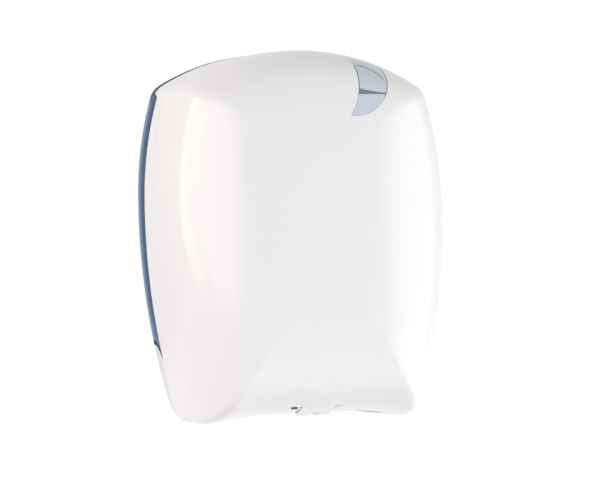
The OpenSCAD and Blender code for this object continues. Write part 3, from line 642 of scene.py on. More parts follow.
# Heights of the rim's painted shade along its top, distances from the hinge of its painted light in
# a paler mottle and of its painted shade at the ends, each with the share of scatter there, and the
# noise and strength of the painted light mottle
RIM_SHADE_TOP, RIM_SHADE_TOP_MILK = (0.085, 0.105), 0.95
RIM_LIGHT_MOTTLE, RIM_LIGHT_MOTTLE_MILK = (0.084, 0.064), 0.7
RIM_SHADE_END, RIM_SHADE_END_MILK = (0.0618, 0.0602), 0.95
MOTTLE_NOISE, MOTTLE = (300, 2), (-0.3, 0.9)


def fill_inputs(tree, node, inputs):
    """Links or sets a node's inputs by name or number; a list holds several links to one input."""
    for key, value in inputs.items():
        for item in value if isinstance(value, list) else [value]:
            if isinstance(item, bpy.types.NodeSocket):
                tree.links.new(item, node.inputs[key])
            else:
                node.inputs[key].default_value = item


class Nodes:
    """A node tree, built up step by step. Kinds of its own family go by their short names."""
    family = "ShaderNode"

    def __init__(self, tree):
        self.tree = tree

    def add(self, kind, inputs=None, **settings):
        """The outputs of a new node with its settings and inputs."""
        node = self.tree.nodes.new(kind if "Node" in kind else self.family + kind)
        for key, value in settings.items():
            setattr(node, key, value)
        fill_inputs(self.tree, node, inputs or {})
        return node.outputs

    def math(self, operation, a, b=0.0):
        return self.add("ShaderNodeMath", {0: a, 1: b}, operation=operation)[0]

    def times(self, a, b):
        return self.math("MULTIPLY", a, b)

    def plus(self, a, b):
        return self.math("ADD", a, b)

    def less(self, a, b):
        return self.math("SUBTRACT", a, b)

    def between(self, value, low, high, start=0.0, end=1.0):
        """Turns a value's way from one level to another into the way from a start to an end."""
        return self.add("ShaderNodeMapRange", {
            "Value": value, "From Min": low, "From Max": high,
            "To Min": start, "To Max": end})["Result"]


class Finish(Nodes):
    """A node material that is built up step by step."""

    def __init__(self, name):
        self.material = bpy.data.materials.new(name)
        self.material.use_nodes = True
        super().__init__(self.material.node_tree)
        self.shader = self.tree.nodes["Principled BSDF"]
        self.coords = self.add("TexCoord")["Object"]

    def noise(self, scale, detail=3.0, stretch=(1, 1, 1)):
        spot = self.add("Mapping", {"Vector": self.coords, "Scale": stretch})["Vector"]
        return self.add("TexNoise", {"Vector": spot, "Scale": scale, "Detail": detail})["Fac"]

    def spread(self, noise, low, high):
        return self.between(noise, *NOISE_SPAN, low, high)

    def tint(self, noise, dark, light):
        node = self.tree.nodes.new("ShaderNodeValToRGB")
        for k, tone in enumerate((dark, light)):
            node.color_ramp.elements[k].position = NOISE_SPAN[k]
            node.color_ramp.elements[k].color = (*tone, 1)
        self.tree.links.new(noise, node.inputs["Fac"])
        return node.outputs["Color"]

    def bump(self, noise, depth):
        return self.add("Bump", {"Height": noise, "Distance": depth})["Normal"]

    def from_axis(self, y, z):
        """Distance from an axis that runs sideways."""
        value = self.coords
        for operation, other in (("SUBTRACT", (0, y, z)), ("MULTIPLY", (0, 1, 1))):
            value = self.add("VectorMath", {0: value, 1: other}, operation=operation)[0]
        return self.add("VectorMath", {0: value}, operation="LENGTH")["Value"]

    def mixed(self, value, first, second):
        """A colour or number that turns from the first to the second."""
        kind, a, b, result = ("FLOAT", 2, 3, 0) if isinstance(second, float) else ("RGBA", 6, 7, 2)
        return self.add("Mix", {0: value, a: first, b: second}, data_type=kind)[result]

    def solid(self, tone, vary, grain, rough, cloud, depth, relief, values):
        """An opaque finish with a varied tone, uneven gloss and a fine relief."""
        dark = [c * (1 - vary) for c in tone]
        light = [min(1.0, c * (1 + vary)) for c in tone]
        fill_inputs(self.tree, self.shader, {
            "Base Color": self.tint(self.noise(*grain), dark, light),
            "Roughness": self.spread(self.noise(*cloud), *rough),
            "Normal": self.bump(self.noise(*relief), depth), **values})

    def see_through(self, tint, density, gloss, milk, milkiness, zones=()):
        """Plastic that darkens with the depth that light passes, with a share of milky scatter.
        Each zone is a value, the colour that it turns to and the share of scatter there; the zones
        paint light and shade into the haze and the gloss."""
        cloud = self.noise(*CLOUD_NOISE)
        normal = self.bump(self.noise(*RIPPLE_NOISE), RIPPLE_DEPTH)
        haze = self.tint(cloud, [c * CLOUD_DARK for c in milk], milk)
        shown, share = (*gloss, 1), milkiness
        for value, tone, share_there in zones:
            haze = self.mixed(value, haze, (*tone, 1))
            shown = self.mixed(value, shown, (*tone, 1))
            share = self.mixed(value, share, share_there)
        edge = self.add("Fresnel", {"IOR": CLEAR_IOR, "Normal": normal})[0]
        clear = self.add("BsdfTransparent")[0]
        milky = self.add("BsdfDiffuse", {"Color": haze})[0]
        shine = self.add("BsdfGlossy", {
            "Color": shown, "Roughness": self.spread(cloud, *CLEAR_ROUGH), "Normal": normal})[0]
        body = self.add("MixShader", {0: share, 1: clear, 2: milky})[0]
        fill_inputs(self.tree, self.tree.nodes["Material Output"], {
            "Surface": self.add("MixShader", {0: edge, 1: body, 2: shine})[0],
            "Volume": self.add("VolumeAbsorption", {"Color": (*tint, 1), "Density": density})[0]})
        self.tree.nodes.remove(self.shader)

    def rim_zones(self, tones):
        """Painted shade along the rim's top, painted light in a paler mottle on its lower part and
        painted shade at its lower ends.
        """
        height = self.add("SeparateXYZ", {"Vector": self.coords})["Z"]
        away = self.from_axis(HINGE.y, HINGE.z)
        painted_light_mottle = self.times(self.between(away, *RIM_LIGHT_MOTTLE),
                            self.spread(self.noise(*MOTTLE_NOISE), *MOTTLE))
        return ((self.between(height, *RIM_SHADE_TOP), tones.rim_top, RIM_SHADE_TOP_MILK),
                (painted_light_mottle, tones.rim_pale, RIM_LIGHT_MOTTLE_MILK),
                (self.between(away, *RIM_SHADE_END), tones.rim_end, RIM_SHADE_END_MILK))


def finish_named(name):
    """A finish by name, made once."""
    known = bpy.data.materials.get(name)
    if known:
        return known
    tones = chosen("colours")
    f = Finish(name)
    if name in SOLID_FINISHES:
        tone, *rest = SOLID_FINISHES[name]
        f.solid(getattr(tones, tone), *rest)
        return f.material
    gloss, milk, zones = {
        "smoky_plastic": (tones.smoky_gloss, tones.rim_milk, f.rim_zones),
        "window_plastic": (WHITE, tones.window_milk, None),
        "window_band": (WHITE, tones.band_milk, None),
    }[name]
    f.see_through(tones.smoky_blue, tones.smoky_density, gloss, milk, MILKINESS[name],
                  zones(tones) if zones else ())
    return f.material


# Shapes of the cuts

# How far the notch and the underside opening overlap, and the normal's rise of a face that looks up
NOTCH_LAP = 0.002
LOOKS_UP = 0.5
# Steps of the arcs of the cheeks, the wall corner, the rim's ends, the underside and the window
CHEEK_STEPS, CORNER_STEPS, RIM_END_STEPS, UNDERSIDE_STEPS = 40, 20, 64, 24
WINDOW_STEPS, BITE_STEPS = 60, 50


def rear_cut_shape():
    """What the cover leaves to the rim and the wall, seen from the side."""
    rim = chosen("rim")
    y, z = HINGE.y, HINGE.z
    edge, edge_top = -rim.rim_depth - rim.seam, -rim.top_depth - rim.seam
    corner_r = -y - rim.wall_gap
    cheek_from = math.degrees(math.acos((edge - y) / rim.cheek_r))
    cheek_to = math.degrees(math.acos(corner_r / rim.cheek_r))
    bottom, top = CAD_BOX[0][2] - PAST, CAD_BOX[1][2] + PAST
    return np.concatenate([
        [(edge_top, top), (edge_top, rim.step_z + rim.step_rise), (edge, rim.step_z)],
        arc((y, z), rim.cheek_r, cheek_from, cheek_to, CHEEK_STEPS),
        arc((y, z), corner_r, 0, -90, CORNER_STEPS),
        [(y, bottom), (PAST, bottom), (PAST, top)],
    ])


def rim_end_shape():
    """What the rim leaves to the cheeks, seen from the side."""
    rim = chosen("rim")
    y, z = HINGE.y, HINGE.z
    r = rim.cheek_r + rim.seam
    bottom = CAD_BOX[0][2] - PAST
    ends = [(y + r, bottom), (y - r, bottom)]
    return np.concatenate([arc((y, z), r, 180, 0, RIM_END_STEPS), ends])


def rim_step_shape():
    """What the rim leaves to the cover along the top, seen from the side."""
    rim = chosen("rim")
    front, back = -rim.rim_depth - PAST, -rim.top_depth
    high = rim.step_z - rim.seam + rim.step_rise
    low = high - (back - front) * rim.step_rise / (rim.rim_depth - rim.top_depth)
    top = CAD_BOX[1][2] + PAST
    return np.array([(front, low), (back, high), (back, top), (front, top)])


def underside_shape():
    """The opening for the outlet, seen from above."""
    o = chosen("openings")
    half, front, r = o.underside_half, -o.underside_front, o.underside_corner
    return np.concatenate([
        arc((-half + r, front + r), r, 180, 270, UNDERSIDE_STEPS),
        arc((half - r, front + r), r, 270, 360, UNDERSIDE_STEPS),
        [(half, PAST), (-half, PAST)],
    ])


def notch_shape():
    """The notch for the tab with its two wings, seen from above."""
    o = chosen("openings")
    half, front = o.notch_half, -o.notch_front
    rear = -o.underside_front + NOTCH_LAP
    wing = front + o.wing_h
    return np.array([
        (-half, front), (half, front), (half + o.wing_w, wing), (half, wing), (half, rear),
        (-half, rear), (-half, wing), (-half - o.wing_w, wing),
    ])


def slit_shape():
    """The slit beside the tab, seen from above, whose shallow pocket gets a dark grey finish as
    painted shade.
    """
    o = chosen("openings")
    left, right, lean = o.slit_x - o.slit_w / 2, o.slit_x + o.slit_w / 2, o.slit_lean
    front = -o.slit_front
    rear = front + o.slit_len
    return np.array([(left - lean, front), (right - lean, front), (right, rear), (left, rear)])


def mark_within(obj, shape, top):
    """Gives the second place to faces within an outline and below a level, unless they look up."""
    ways = np.roll(shape, -1, axis=0) - shape
    ways = ways / np.linalg.norm(ways, axis=1)[:, None]
    points = np.array([v.co for v in obj.data.vertices])
    off = points[:, None, :2] - shape[None]
    inside = (ways[:, 0] * off[..., 1] - ways[:, 1] * off[..., 0] > -NEAR).all(axis=1)
    inside &= points[:, 2] < top
    marked = [p for p in obj.data.polygons
              if p.normal.z < LOOKS_UP and inside[list(p.vertices)].all()]
    if not marked:
        raise RuntimeError(f"{obj.name}: no face lies within the outline")
    for p in marked:
        p.material_index = 1


def crescent(more):
    """The window's outline seen from the front, grown by a margin."""
    o = chosen("openings")
    a, r = np.array((o.window_x, o.window_z)), o.window_r + more
    b, s = np.array((o.bite_x, o.bite_z)), o.bite_r - more
    gap = np.linalg.norm(b - a)
    along = (gap ** 2 + r ** 2 - s ** 2) / (2 * gap)
    aside = math.sqrt(r ** 2 - along ** 2)
    unit = (b - a) / gap
    side = np.array((-unit[1], unit[0]))
    ends = (a + along * unit + aside * side, a + along * unit - aside * side)
    low, high = sorted(ends, key=lambda p: p[1])

    def angle(centre, p):
        return math.degrees(math.atan2(p[1] - centre[1], p[0] - centre[0]))

    outer = arc(a, r, angle(a, low) % 360 - 360, angle(a, high), WINDOW_STEPS)
    bite = arc(b, s, angle(b, high), angle(b, low), BITE_STEPS)
    return np.concatenate([outer, bite[1:-1]])


def window_prism(more):
    """What the window takes up of the cover, grown by a margin."""
    o, c = chosen("openings"), chosen("cover")
    return prism("window", crescent(more), "y", -c.cover_depth - PAST, -o.window_back + more)


# Pieces

# The window's painted shade lines: the bend's centre from the window's, spans in degrees, the
# band's fall
BEND_PLACE = (0.0052, -0.0241)
BEND_SPAN = (84, 40)
RIGHT_SPAN, LEFT_SPAN = (-32, 22), (-14, 11)
LINE_STEPS = 24
BAND_FALL = 1.8
# Share of the rim's edge that its outer corners lose
RIM_CHAMFER = 0.3
SPIN_SEED = 7


class DISPENSER_OT_cover(bpy.types.Operator):
    """Builds the moulded front cover with its cheeks, openings and screw bosses"""
    bl_idname = "dispenser.cover"
    bl_label = "Front cover"

    def bosses(self):
        """The bosses for the screws of the hinge arms and the latch bracket, and their holes."""
        sizes = chosen("fittings")
        arm_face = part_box("hinge_arm_right")[1][0]
        bracket_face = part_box("latch_bracket")[0][1]
        side = chosen("outline").body_w
        solid, holes = [], []
        for seat, along, shank in screw_spots("arm_screws"):
            way = -along.x
            solid.append(rod("x", seat.yz, sizes.boss_r, *sorted((way * arm_face, way * side))))
            holes.append(rod("x", seat.yz, sizes.boss_hole_r, *sorted((0.0, seat.x + way * shank))))
        for seat, along, shank in screw_spots("bracket_screws"):
            centre = (seat.x, seat.z)
            solid.append(rod("y", centre, sizes.boss_r, bracket_face - PAST, bracket_face))
            holes.append(rod("y", centre, sizes.boss_hole_r, seat.y - shank, bracket_face + PAST))
        return join_meshes("bosses", solid), join_meshes("holes", holes)

    def execute(self, context):
        wall = chosen("cover").cover_wall
        o = chosen("openings")
        wide = chosen("outline").body_w
        under = ("z", CAD_BOX[0][2] - PAST, o.underside_top)
        slit = slit_shape()
        bosses, holes = self.bosses()
        skin = form_mesh("skin", chosen("fittings").boss_sink, 0.0)
        obj = add_object("cover_shell", form_mesh("cover_shell", 0.0, 0.0))
        combine(obj, "DIFFERENCE",
                form_mesh("inside", wall, PAST),
                prism("rear", rear_cut_shape(), "x", -wide, wide),
                prism("under", underside_shape(), *under),
                prism("notch", notch_shape(), *under),
                combined(prism("slit", slit, *under),
                         "DIFFERENCE", form_mesh("pocket", o.slit_depth, PAST)),
                window_prism(0.0))
        combine(obj, "UNION", combined(bosses, "INTERSECT", skin))
        combine(obj, "DIFFERENCE", holes)
        shade(obj)
        follow_forms(obj, smooth_form(0.0, 1), smooth_form(wall, -1))
        # The slit's pocket gets the dark grey finish as painted shade
        mark_within(obj, slit, o.underside_top)
        finish_piece(obj, "gloss_white", "cover", "cover_white", "front_cover",
                     second="grey_rubber")
        return {"FINISHED"}


class DISPENSER_OT_window(bpy.types.Operator):
    """Builds the crescent level window, flush outside and flanged inside"""
    bl_idname = "dispenser.window"
    bl_label = "Level window"

    def zones(self):
        """Outlines of the painted shade: the dark band, the line along the upper bend and the dark
        side edges.
        """
        o = chosen("openings")
        w = o.line_w
        left, right = o.window_x, o.window_x + o.window_r
        x = np.linspace(left, right, LINE_STEPS + 1)
        fall = (1 - (x - left) / (right - left)) ** BAND_FALL
        band_top = o.band_low + o.band_right + (o.band_left - o.band_right) * fall
        bend = (o.window_x + BEND_PLACE[0], o.window_z + BEND_PLACE[1])
        return (
            np.concatenate([np.c_[x, np.full(len(x), o.band_low)], np.c_[x, band_top][::-1]]),
            np.concatenate([arc(bend, o.bend_r + w / 2, *BEND_SPAN, LINE_STEPS),
                            arc(bend, o.bend_r - w / 2, *BEND_SPAN[::-1], LINE_STEPS)]),
            self.edge((o.window_x, o.window_z), o.window_r - w, RIGHT_SPAN, right + o.window_r),
            self.edge((o.bite_x, o.bite_z), o.bite_r + w, LEFT_SPAN, o.bite_x),
        )

    def edge(self, centre, r, span, far):
        """Outline of what lies between an arc and a place beyond the lens."""
        bow = arc(centre, r, *span, LINE_STEPS)
        return np.concatenate([bow, [(far, bow[-1][1]), (far, bow[0][1])]])

    def part_bands(self, lens):
        """Parts the lens into its pale body and its dark bands of painted shade, which get the
        second material.
        """
        deep = chosen("cover").cover_depth + PAST
        dark = []
        for zone in self.zones():
            inside, outside = (prism("zone", zone, "y", -deep, 0.0) for _ in range(2))
            part = combined(lens.data.copy(), "INTERSECT", inside)
            combine(lens, "DIFFERENCE", outside)
            place_material(part, [1] * len(part.polygons))
            dark.append(part)
        body = lens.data
        place_material(body, [0] * len(body.polygons))
        lens.data = join_meshes("window_lens", [body.copy(), *dark])
        bpy.data.meshes.remove(body)

    def execute(self, context):
        wall = chosen("cover").cover_wall
        o = chosen("openings")
        inner = wall + o.window_flange_t
        behind = wall + FACE_GAP
        lens, flange = (
            combined(combined(form_mesh("lens", outer, 0.0),
                              "DIFFERENCE", form_mesh("inside", inner, PAST)),
                     "INTERSECT", window_prism(more))
            for outer, more in ((0.0, -o.window_gap), (behind, o.window_flange_w)))
        obj = add_object("window_lens", lens)
        combine(obj, "UNION", flange)
        self.part_bands(obj)
        shade(obj)
        follow_forms(obj, smooth_form(0.0, 1), smooth_form(behind, 1),
                     smooth_form(inner, -1))
        # The dark bands get the finish of painted shade
        finish_piece(obj, "window_plastic", "cover", "smoky", "level_window", second="window_band")
        return {"FINISHED"}


class DISPENSER_OT_rim(bpy.types.Operator):
    """Builds the smoky rim with its rounded edges, inner flange and arched ends"""
    bl_idname = "dispenser.rim"
    bl_label = "Smoky rim"

    def execute(self, context):
        rim = chosen("rim")
        wall, e = rim.rim_wall, rim.rim_edge
        c = e * RIM_CHAMFER
        back, front = -rim.plate_t, -rim.rim_depth
        ledge, flange = back - rim.flange_t, wall + rim.flange_w
        # Section of the rim as distance in from the outline and depth
        section = [
            (c, 0.0), (0.0, -c), (0.0, front + e), (c, front + c), (e, front), (wall - e, front),
            (wall, front + e), (wall, ledge - e), (wall + e, ledge), (flange - e, ledge),
            (flange, ledge + e), (flange, back), (wall, back), (wall, 0.0),
        ]
        ring = outline()
        n, m = len(ring), len(section)
        points, faces = [], []
        for k, (inwards, depth) in enumerate(section):
            loop = inset(ring, inwards)
            points.append(np.c_[loop[:, 0], np.full(n, depth), loop[:, 1]])
            faces += between_rows(k * n, (k + 1) % m * n, n)
        obj = add_object("rim_band", mesh_from("rim_band", np.concatenate(points), faces))
        wide = chosen("outline").body_w
        hole_r = chosen("fittings").boss_hole_r
        holes = [rod("y", (seat.x, seat.z), hole_r, front, PAST)
                 for seat, *_ in screw_spots("rim_screws")]
        combine(obj, "DIFFERENCE",
                prism("ends", rim_end_shape(), "x", -wide, wide),
                prism("step", rim_step_shape(), "x", -wide, wide),
                join_meshes("holes", holes))
        shade(obj)
        finish_piece(obj, "smoky_plastic", "base", "smoky", "smoky_rim")
        return {"FINISHED"}


class DISPENSER_OT_fittings(bpy.types.Operator):
    """Softens the edges of the moulded and pressed fittings and gives each its finish"""
    bl_idname = "dispenser.fittings"
    bl_label = "Fittings"

    def execute(self, context):
        sizes = chosen("fittings")
        moulded, steel = sizes.moulded_edge, sizes.steel_edge
        for nodes, width, finish, body, slot in (
            (("back_plate",), moulded, "satin_white", "base", "body_white"),
            (("roll_shelf",), moulded, "satin_ivory", "base", "inner_ivory"),
            (("outlet_cone", "outlet_collar"), moulded, "satin_white", "base", "body_white"),
            (("grip_star",), steel, "grey_rubber", "base", "grey"),
            (("latch_keeper", "hinge_pin_left", "hinge_pin_right"), steel, "zinc_steel", "base",
             "steel"),
            (("hinge_arm_left", "hinge_arm_right"), moulded, "satin_ivory", "cover", "inner_ivory"),
            (("hinge_bush_left", "hinge_bush_right"), steel, "grey_rubber", "cover", "grey"),
            (("latch_bracket",), moulded, "satin_ivory", "cover", "inner_ivory"),
            (("latch_pin",), steel, "zinc_steel", "cover", "steel"),
            (("latch_tab",), moulded, "gloss_white", "latch", "cover_white"),
        ):
            for node in nodes:
                finish_piece(softened(node, width), finish, body, slot, node)
        return {"FINISHED"}


# Screws and spring

# A screw in shares of its sizes: narrowing and dome of the head, reach and lift of the recess,
# where the tip starts, how fast it narrows, and how far the shank reaches into the head
HEAD_TAPER, HEAD_POWER, HEAD_DOME = 0.28, 3.0, 0.24
RECESS_REACH, RECESS_LIFT = 1.1, 0.95
TIP_START, TIP_SLOPE, SHANK_LAP = 0.88, 5.0, 0.1
# Steps around, along and across the head and the shank, and how their ends are filled
HEAD_MESH, SHANK_MESH = (40, 6, 4, "TRIANGLE_FAN"), (28, 72, 1, "NGON")
# Share of the spring's rise that is even; the rest eases in and out, so the ends are closed
EVEN_RISE = 0.45
COIL_STEPS, WIRE_STEPS = 40, 14


class Steps(Nodes):
    """A geometry node tree that is built up step by step, with named inputs."""
    family = "GeometryNode"

    def __init__(self, name):
        super().__init__(bpy.data.node_groups.new(name, "GeometryNodeTree"))
        new = self.tree.interface.new_socket
        for side in ("INPUT", "OUTPUT"):
            new("Geometry", in_out=side, socket_type="NodeSocketGeometry")
        self.start = self.tree.nodes.new("NodeGroupInput")
        self.end = self.tree.nodes.new("NodeGroupOutput")
        self.values = {}

    def ask(self, name, value, kind="Float"):
        """A named input of the tree with the value it gets."""
        socket = self.tree.interface.new_socket(
            name, in_out="INPUT", socket_type="NodeSocket" + kind)
        self.values[socket.identifier] = value
        return self.start.outputs[name]

    def sizes(self, *keys):
        """Inputs of the tree for sizes of the fittings, under the names of those sizes."""
        group = chosen("fittings")
        return [self.ask(group.bl_rna.properties[key].name, getattr(group, key)) for key in keys]

    def spot(self):
        return self.add("ShaderNodeSeparateXYZ", {0: self.add("InputPosition")[0]})

    def vector(self, x, y, z):
        return self.add("ShaderNodeCombineXYZ", {0: x, 1: y, 2: z})[0]

    def place(self, geometry, x, y, z):
        spot = self.vector(x, y, z)
        return self.add("SetPosition", {"Geometry": geometry, "Position": spot})[0]

    def cylinder(self, around, along, across, fill):
        """A cylinder of radius and height 1 about the origin."""
        return self.add("MeshCylinder", {
            "Vertices": around, "Side Segments": along, "Fill Segments": across,
            "Radius": 1.0, "Depth": 1.0}, fill_type=fill)["Mesh"]

    def spread(self, geometry):
        """Puts a copy on each point of the input, turned by its turn, and ends the tree."""
        turn = self.add("InputNamedAttribute", {"Name": "turn"}, data_type="FLOAT_VECTOR")[0]
        copies = self.add("InstanceOnPoints", {
            "Points": self.start.outputs["Geometry"], "Instance": geometry,
            "Rotation": self.add("FunctionNodeEulerToRotation", {0: turn})[0]})[0]
        real = self.add("RealizeInstances", {"Geometry": copies})[0]
        steel = self.ask("Material", finish_named("zinc_steel"), "Material")
        done = self.add("SetMaterial", {"Geometry": real, "Material": steel})[0]
        self.tree.links.new(done, self.end.inputs["Geometry"])

    def run(self, name, spots):
        """The tree's result as a plain object, for points with their turns."""
        mesh = bpy.data.meshes.new(name)
        mesh.from_pydata([tuple(spot) for spot, turn in spots], [], [])
        turns = mesh.attributes.new("turn", "FLOAT_VECTOR", "POINT")
        turns.data.foreach_set("vector", [v for spot, turn in spots for v in turn])
        obj = add_object(name, mesh)
        modifier = obj.modifiers.new(name, "NODES")
        modifier.node_group = self.tree
        for key, value in self.values.items():
            modifier[key] = value
        settle(obj)
        bpy.data.node_groups.remove(self.tree)
        if not obj.data.polygons:
            raise RuntimeError(f"{name}: the node tree made nothing")
        return shade(obj)


def screw_steps(shank):
    """A pan-head screw with a cross recess and a thread, its seat at the origin and its head up."""
    steps = Steps("screw_set")
    times, plus, less = steps.times, steps.plus, steps.less
    head_r, head_h, shank_r, pitch, groove, recess_w = steps.sizes(
        "head_r", "head_h", "shank_r", "thread_pitch", "thread_depth", "recess_w")
    shank_len = steps.ask("Shank length", shank)
    x, y, z = steps.spot()

    rise = plus(z, 0.5)
    shrink = less(1.0, times(steps.math("POWER", rise, HEAD_POWER), HEAD_TAPER))
    wide = times(shrink, head_r)
    dome = less(1.0, times(plus(times(x, x), times(y, y)), HEAD_DOME))
    high = times(times(rise, dome), head_h)
    head = steps.place(steps.cylinder(*HEAD_MESH), times(x, wide), times(y, wide), high)
    arm = times(head_r, RECESS_REACH)
    lift = steps.vector(0.0, 0.0, times(head_h, RECESS_LIFT))
    for size in ((arm, recess_w, head_h), (recess_w, arm, head_h)):
        bar = steps.add("MeshCube", {"Size": steps.vector(*size)})["Mesh"]
        bar = steps.add("Transform", {"Geometry": bar, "Translation": lift})[0]
        head = steps.add("MeshBoolean", {"Mesh 1": head, "Mesh 2": bar},
                         operation="DIFFERENCE", solver="EXACT")["Mesh"]

    down = less(0.5, z)
    around = steps.math("DIVIDE", steps.math("ARCTAN2", y, x), 2 * math.pi)
    turn = plus(steps.math("DIVIDE", times(down, shank_len), pitch), around)
    ridge = times(steps.math("PINGPONG", turn, 0.5), 2.0)
    thread = less(1.0, times(ridge, groove))
    tip = steps.math("MAXIMUM", times(less(down, TIP_START), TIP_SLOPE), 0.0)
    slim = times(times(thread, less(1.0, tip)), shank_r)
    lap = times(head_h, SHANK_LAP)
    low = less(lap, times(down, plus(shank_len, lap)))
    shaft = steps.place(steps.cylinder(*SHANK_MESH), times(x, slim), times(y, slim), low)
    steps.spread(steps.add("JoinGeometry", {"Geometry": [head, shaft]})[0])
    return steps


def spring_steps(height):
    """A pressed coil spring with closed ends, which stands on the origin."""
    steps = Steps("coil_spring")
    wire, coil, turns = steps.sizes("wire_r", "coil_r", "coil_turns")
    tall = steps.ask("Height", height)
    curve = steps.add("CurveSpiral", {
        "Resolution": COIL_STEPS, "Rotations": turns, "Start Radius": coil, "End Radius": coil,
        "Height": 1.0})[0]
    share = steps.add("SplineParameter")["Factor"]
    eased = steps.add("ShaderNodeMapRange", {"Value": share}, interpolation_type="SMOOTHSTEP")[0]
    both = steps.plus(steps.times(share, EVEN_RISE), steps.times(eased, 1 - EVEN_RISE))
    room = steps.less(tall, steps.times(wire, 2.0))
    x, y, _ = steps.spot()
    curve = steps.place(curve, x, y, steps.plus(steps.times(both, room), wire))
    ring = steps.add("CurvePrimitiveCircle", {"Resolution": WIRE_STEPS, "Radius": wire})[0]
    steps.spread(steps.add("CurveToMesh", {
        "Curve": curve, "Profile Curve": ring, "Fill Caps": True})[0])
    return steps


class DISPENSER_OT_screws(bpy.types.Operator):
    """Builds every set of pan-head screws at the places of the packed screws"""
    bl_idname = "dispenser.screws"
    bl_label = "Screws"

    def execute(self, context):
        draw = random.Random(SPIN_SEED)
        for node, body in (
            ("rim_screws", "base"), ("shelf_screws", "base"), ("cone_screws", "base"),
            ("keeper_screws", "base"), ("arm_screws", "cover"), ("bracket_screws", "cover"),
        ):
            spots, shank = [], 0.0
            for seat, along, shank in screw_spots(node):
                turn = along.to_track_quat("Z", "Y").to_matrix().to_4x4()
                spin = Matrix.Rotation(draw.uniform(0, math.pi), 4, "Z")
                spots.append((seat, (turn @ spin).to_euler()))
            obj = screw_steps(shank).run(node + "_set", spots)
            finish_piece(obj, "zinc_steel", body, "steel", node)
        return {"FINISHED"}


class DISPENSER_OT_spring(bpy.types.Operator):
    """Builds the coil spring of the latch, which goes with the tab"""
    bl_idname = "dispenser.spring"
    bl_label = "Latch spring"

    def execute(self, context):
        low, high = (Vector(v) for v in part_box("latch_spring"))
        foot = (low + high) / 2
        foot.z = low.z
        obj = spring_steps(high.z - low.z).run("latch_coil", [(foot, (0, 0, 0))])
        # The coil stands on the tab's peg and tilts with it
        finish_piece(obj, "zinc_steel", "latch", "steel", "latch_spring")
        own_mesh(obj)
        return {"FINISHED"}


# Stage

FRAME_W = 600
FRAME_H = 480
SENSOR_W = 36.0
# Share of the white surroundings that gloss shows, and the surroundings' light on the part
GLOSS_SHARE = 0.7
AMBIENT = 0.5
LAMP_AWAY = 1.7
LAMP_AIM = -0.02
# Each lamp's name, turn and height in degrees, size, power, tint, shape and if gloss shows it
LAMPS = (
    ("left_box", -90, 16, (1.4, 1.2), 12.6, (1, 0.875, 0.825), "RECTANGLE", True),
    ("front_left_box", -49, 17, (1.3, 0.8), 6.2, (1, 0.97, 0.9), "ELLIPSE", True),
    ("front_wide_box", -38, 19, (2.2, 0.9), 0.9, (1, 0.95, 0.98), "ELLIPSE", True),
    ("right_box", 62, -4, (2.0, 1.8), 20.3, (1, 0.965, 0.96), "RECTANGLE", True),
    ("low_box", 12, -36, (2.0, 0.2), 5.7, (1, 0.955, 1.0), "RECTANGLE", False),
)
FLOOR_HALF = 4
FLOOR_T = 0.02
FLOOR_TONE = (0.66, 0.66, 0.66, 1)
FLOOR_ROUGH = 0.9


def background(tree, ambient):
    """White for what the camera and glass see, less for gloss, and a plain level for the rest."""
    nodes = Nodes(tree)
    path = nodes.add("LightPath")
    seen = nodes.times(path["Is Glossy Ray"], GLOSS_SHARE)
    for ray in ("Is Camera Ray", "Is Transmission Ray"):
        seen = nodes.math("MAXIMUM", seen, path[ray])
    return nodes.between(seen, 0.0, 1.0, ambient, 1.0)


def aimed(name, data, aim, turn, height, away):
    """An object that looks at a point from a turn, a height angle and a distance."""
    flat = math.cos(height)
    way = Vector((math.sin(turn) * flat, -math.cos(turn) * flat, math.sin(height)))
    obj = add_object(name, data)
    obj.location = Vector(aim) + away * way
    obj.rotation_euler = (-way).to_track_quat("-Z", "Y").to_euler()
    return obj


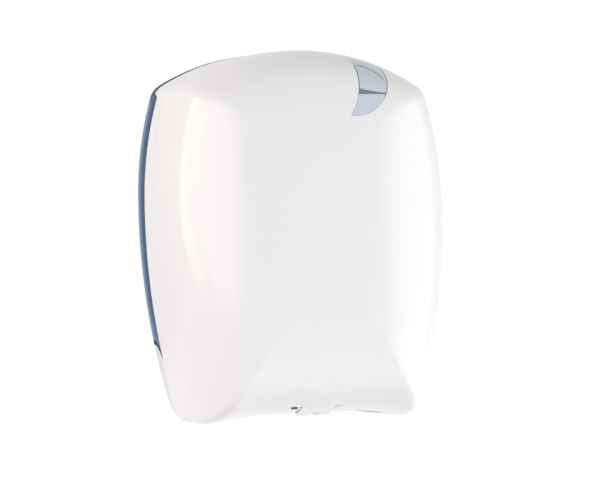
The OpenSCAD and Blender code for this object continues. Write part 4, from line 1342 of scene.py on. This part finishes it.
class DISPENSER_OT_stage(bpy.types.Operator):
    """Sets the camera, the softboxes, the white surroundings and the pale floor"""
    bl_idname = "dispenser.stage"
    bl_label = "Stage"

    def execute(self, context):
        scene = context.scene
        s = chosen("stage")
        scene.view_settings.view_transform = "Standard"
        camera = bpy.data.cameras.new("camera")
        camera.sensor_fit = "HORIZONTAL"
        camera.sensor_width = SENSOR_W
        camera.lens = s.focal_px * SENSOR_W / FRAME_W
        camera.shift_x = (FRAME_W / 2 - s.target_px_x) / FRAME_W
        camera.shift_y = (s.target_px_y - FRAME_H / 2) / FRAME_W
        scene.camera = aimed(
            "camera", camera, (0, s.target_y, 0), s.azimuth, s.elevation, s.distance)

        world = bpy.data.worlds.new("surroundings")
        world.use_nodes = True
        fill_inputs(world.node_tree, world.node_tree.nodes["Background"], {
            "Color": (1, 1, 1, 1), "Strength": background(world.node_tree, AMBIENT)})
        scene.world = world

        for name, turn, height, size, power, tint, shape, shiny in LAMPS:
            lamp = bpy.data.lights.new(name, "AREA")
            lamp.shape = shape
            lamp.size, lamp.size_y = size
            lamp.energy = power
            lamp.color = tint
            box = aimed(name, lamp, (0, s.target_y, LAMP_AIM),
                        math.radians(turn), math.radians(height), LAMP_AWAY)
            box.visible_glossy = shiny

        h = FLOOR_HALF
        mesh = prism("floor", [(-h, -h), (h, -h), (h, h), (-h, h)], "z",
                     -s.floor_drop - FLOOR_T, -s.floor_drop)
        floor = add_object("floor", mesh)
        paint = bpy.data.materials.new("pale_floor")
        paint.use_nodes = True
        fill_inputs(paint.node_tree, paint.node_tree.nodes["Principled BSDF"], {
            "Base Color": FLOOR_TONE, "Roughness": FLOOR_ROUGH, "Emission Color": (1, 1, 1, 1),
            "Emission Strength": background(paint.node_tree, 0.0)})
        mesh.materials.append(paint)
        return {"FINISHED"}


OPERATORS = (
    DISPENSER_OT_cover,
    DISPENSER_OT_window,
    DISPENSER_OT_rim,
    DISPENSER_OT_fittings,
    DISPENSER_OT_screws,
    DISPENSER_OT_spring,
    DISPENSER_OT_stage,
)


class DISPENSER_PT_panel(bpy.types.Panel):
    """Lists the pieces that can be built"""
    bl_idname = "DISPENSER_PT_panel"
    bl_label = "Centrefeed dispenser"
    bl_space_type = "VIEW_3D"
    bl_region_type = "UI"
    bl_category = "Dispenser"

    def draw(self, context):
        for operator in OPERATORS:
            self.layout.operator(operator.bl_idname)
        for name, group in SETTINGS.items():
            box = self.layout.box()
            box.label(text=group.__doc__)
            for prop in group.__annotations__:
                box.prop(chosen(name), prop)


def register():
    for name, group in SETTINGS.items():
        bpy.utils.register_class(group)
        setattr(bpy.types.Scene, PREFIX + name, bpy.props.PointerProperty(type=group))
    for cls in OPERATORS:
        bpy.utils.register_class(cls)
    bpy.utils.register_class(DISPENSER_PT_panel)


def unregister():
    bpy.utils.unregister_class(DISPENSER_PT_panel)
    for cls in reversed(OPERATORS):
        bpy.utils.unregister_class(cls)
    for name, group in reversed(SETTINGS.items()):
        delattr(bpy.types.Scene, PREFIX + name)
        bpy.utils.unregister_class(group)


def main():
    register()
    bpy.ops.dispenser.cover()
    bpy.ops.dispenser.window()
    bpy.ops.dispenser.rim()
    bpy.ops.dispenser.fittings()
    bpy.ops.dispenser.screws()
    bpy.ops.dispenser.spring()
    bpy.ops.dispenser.stage()


if __name__ == "__main__":
    main()
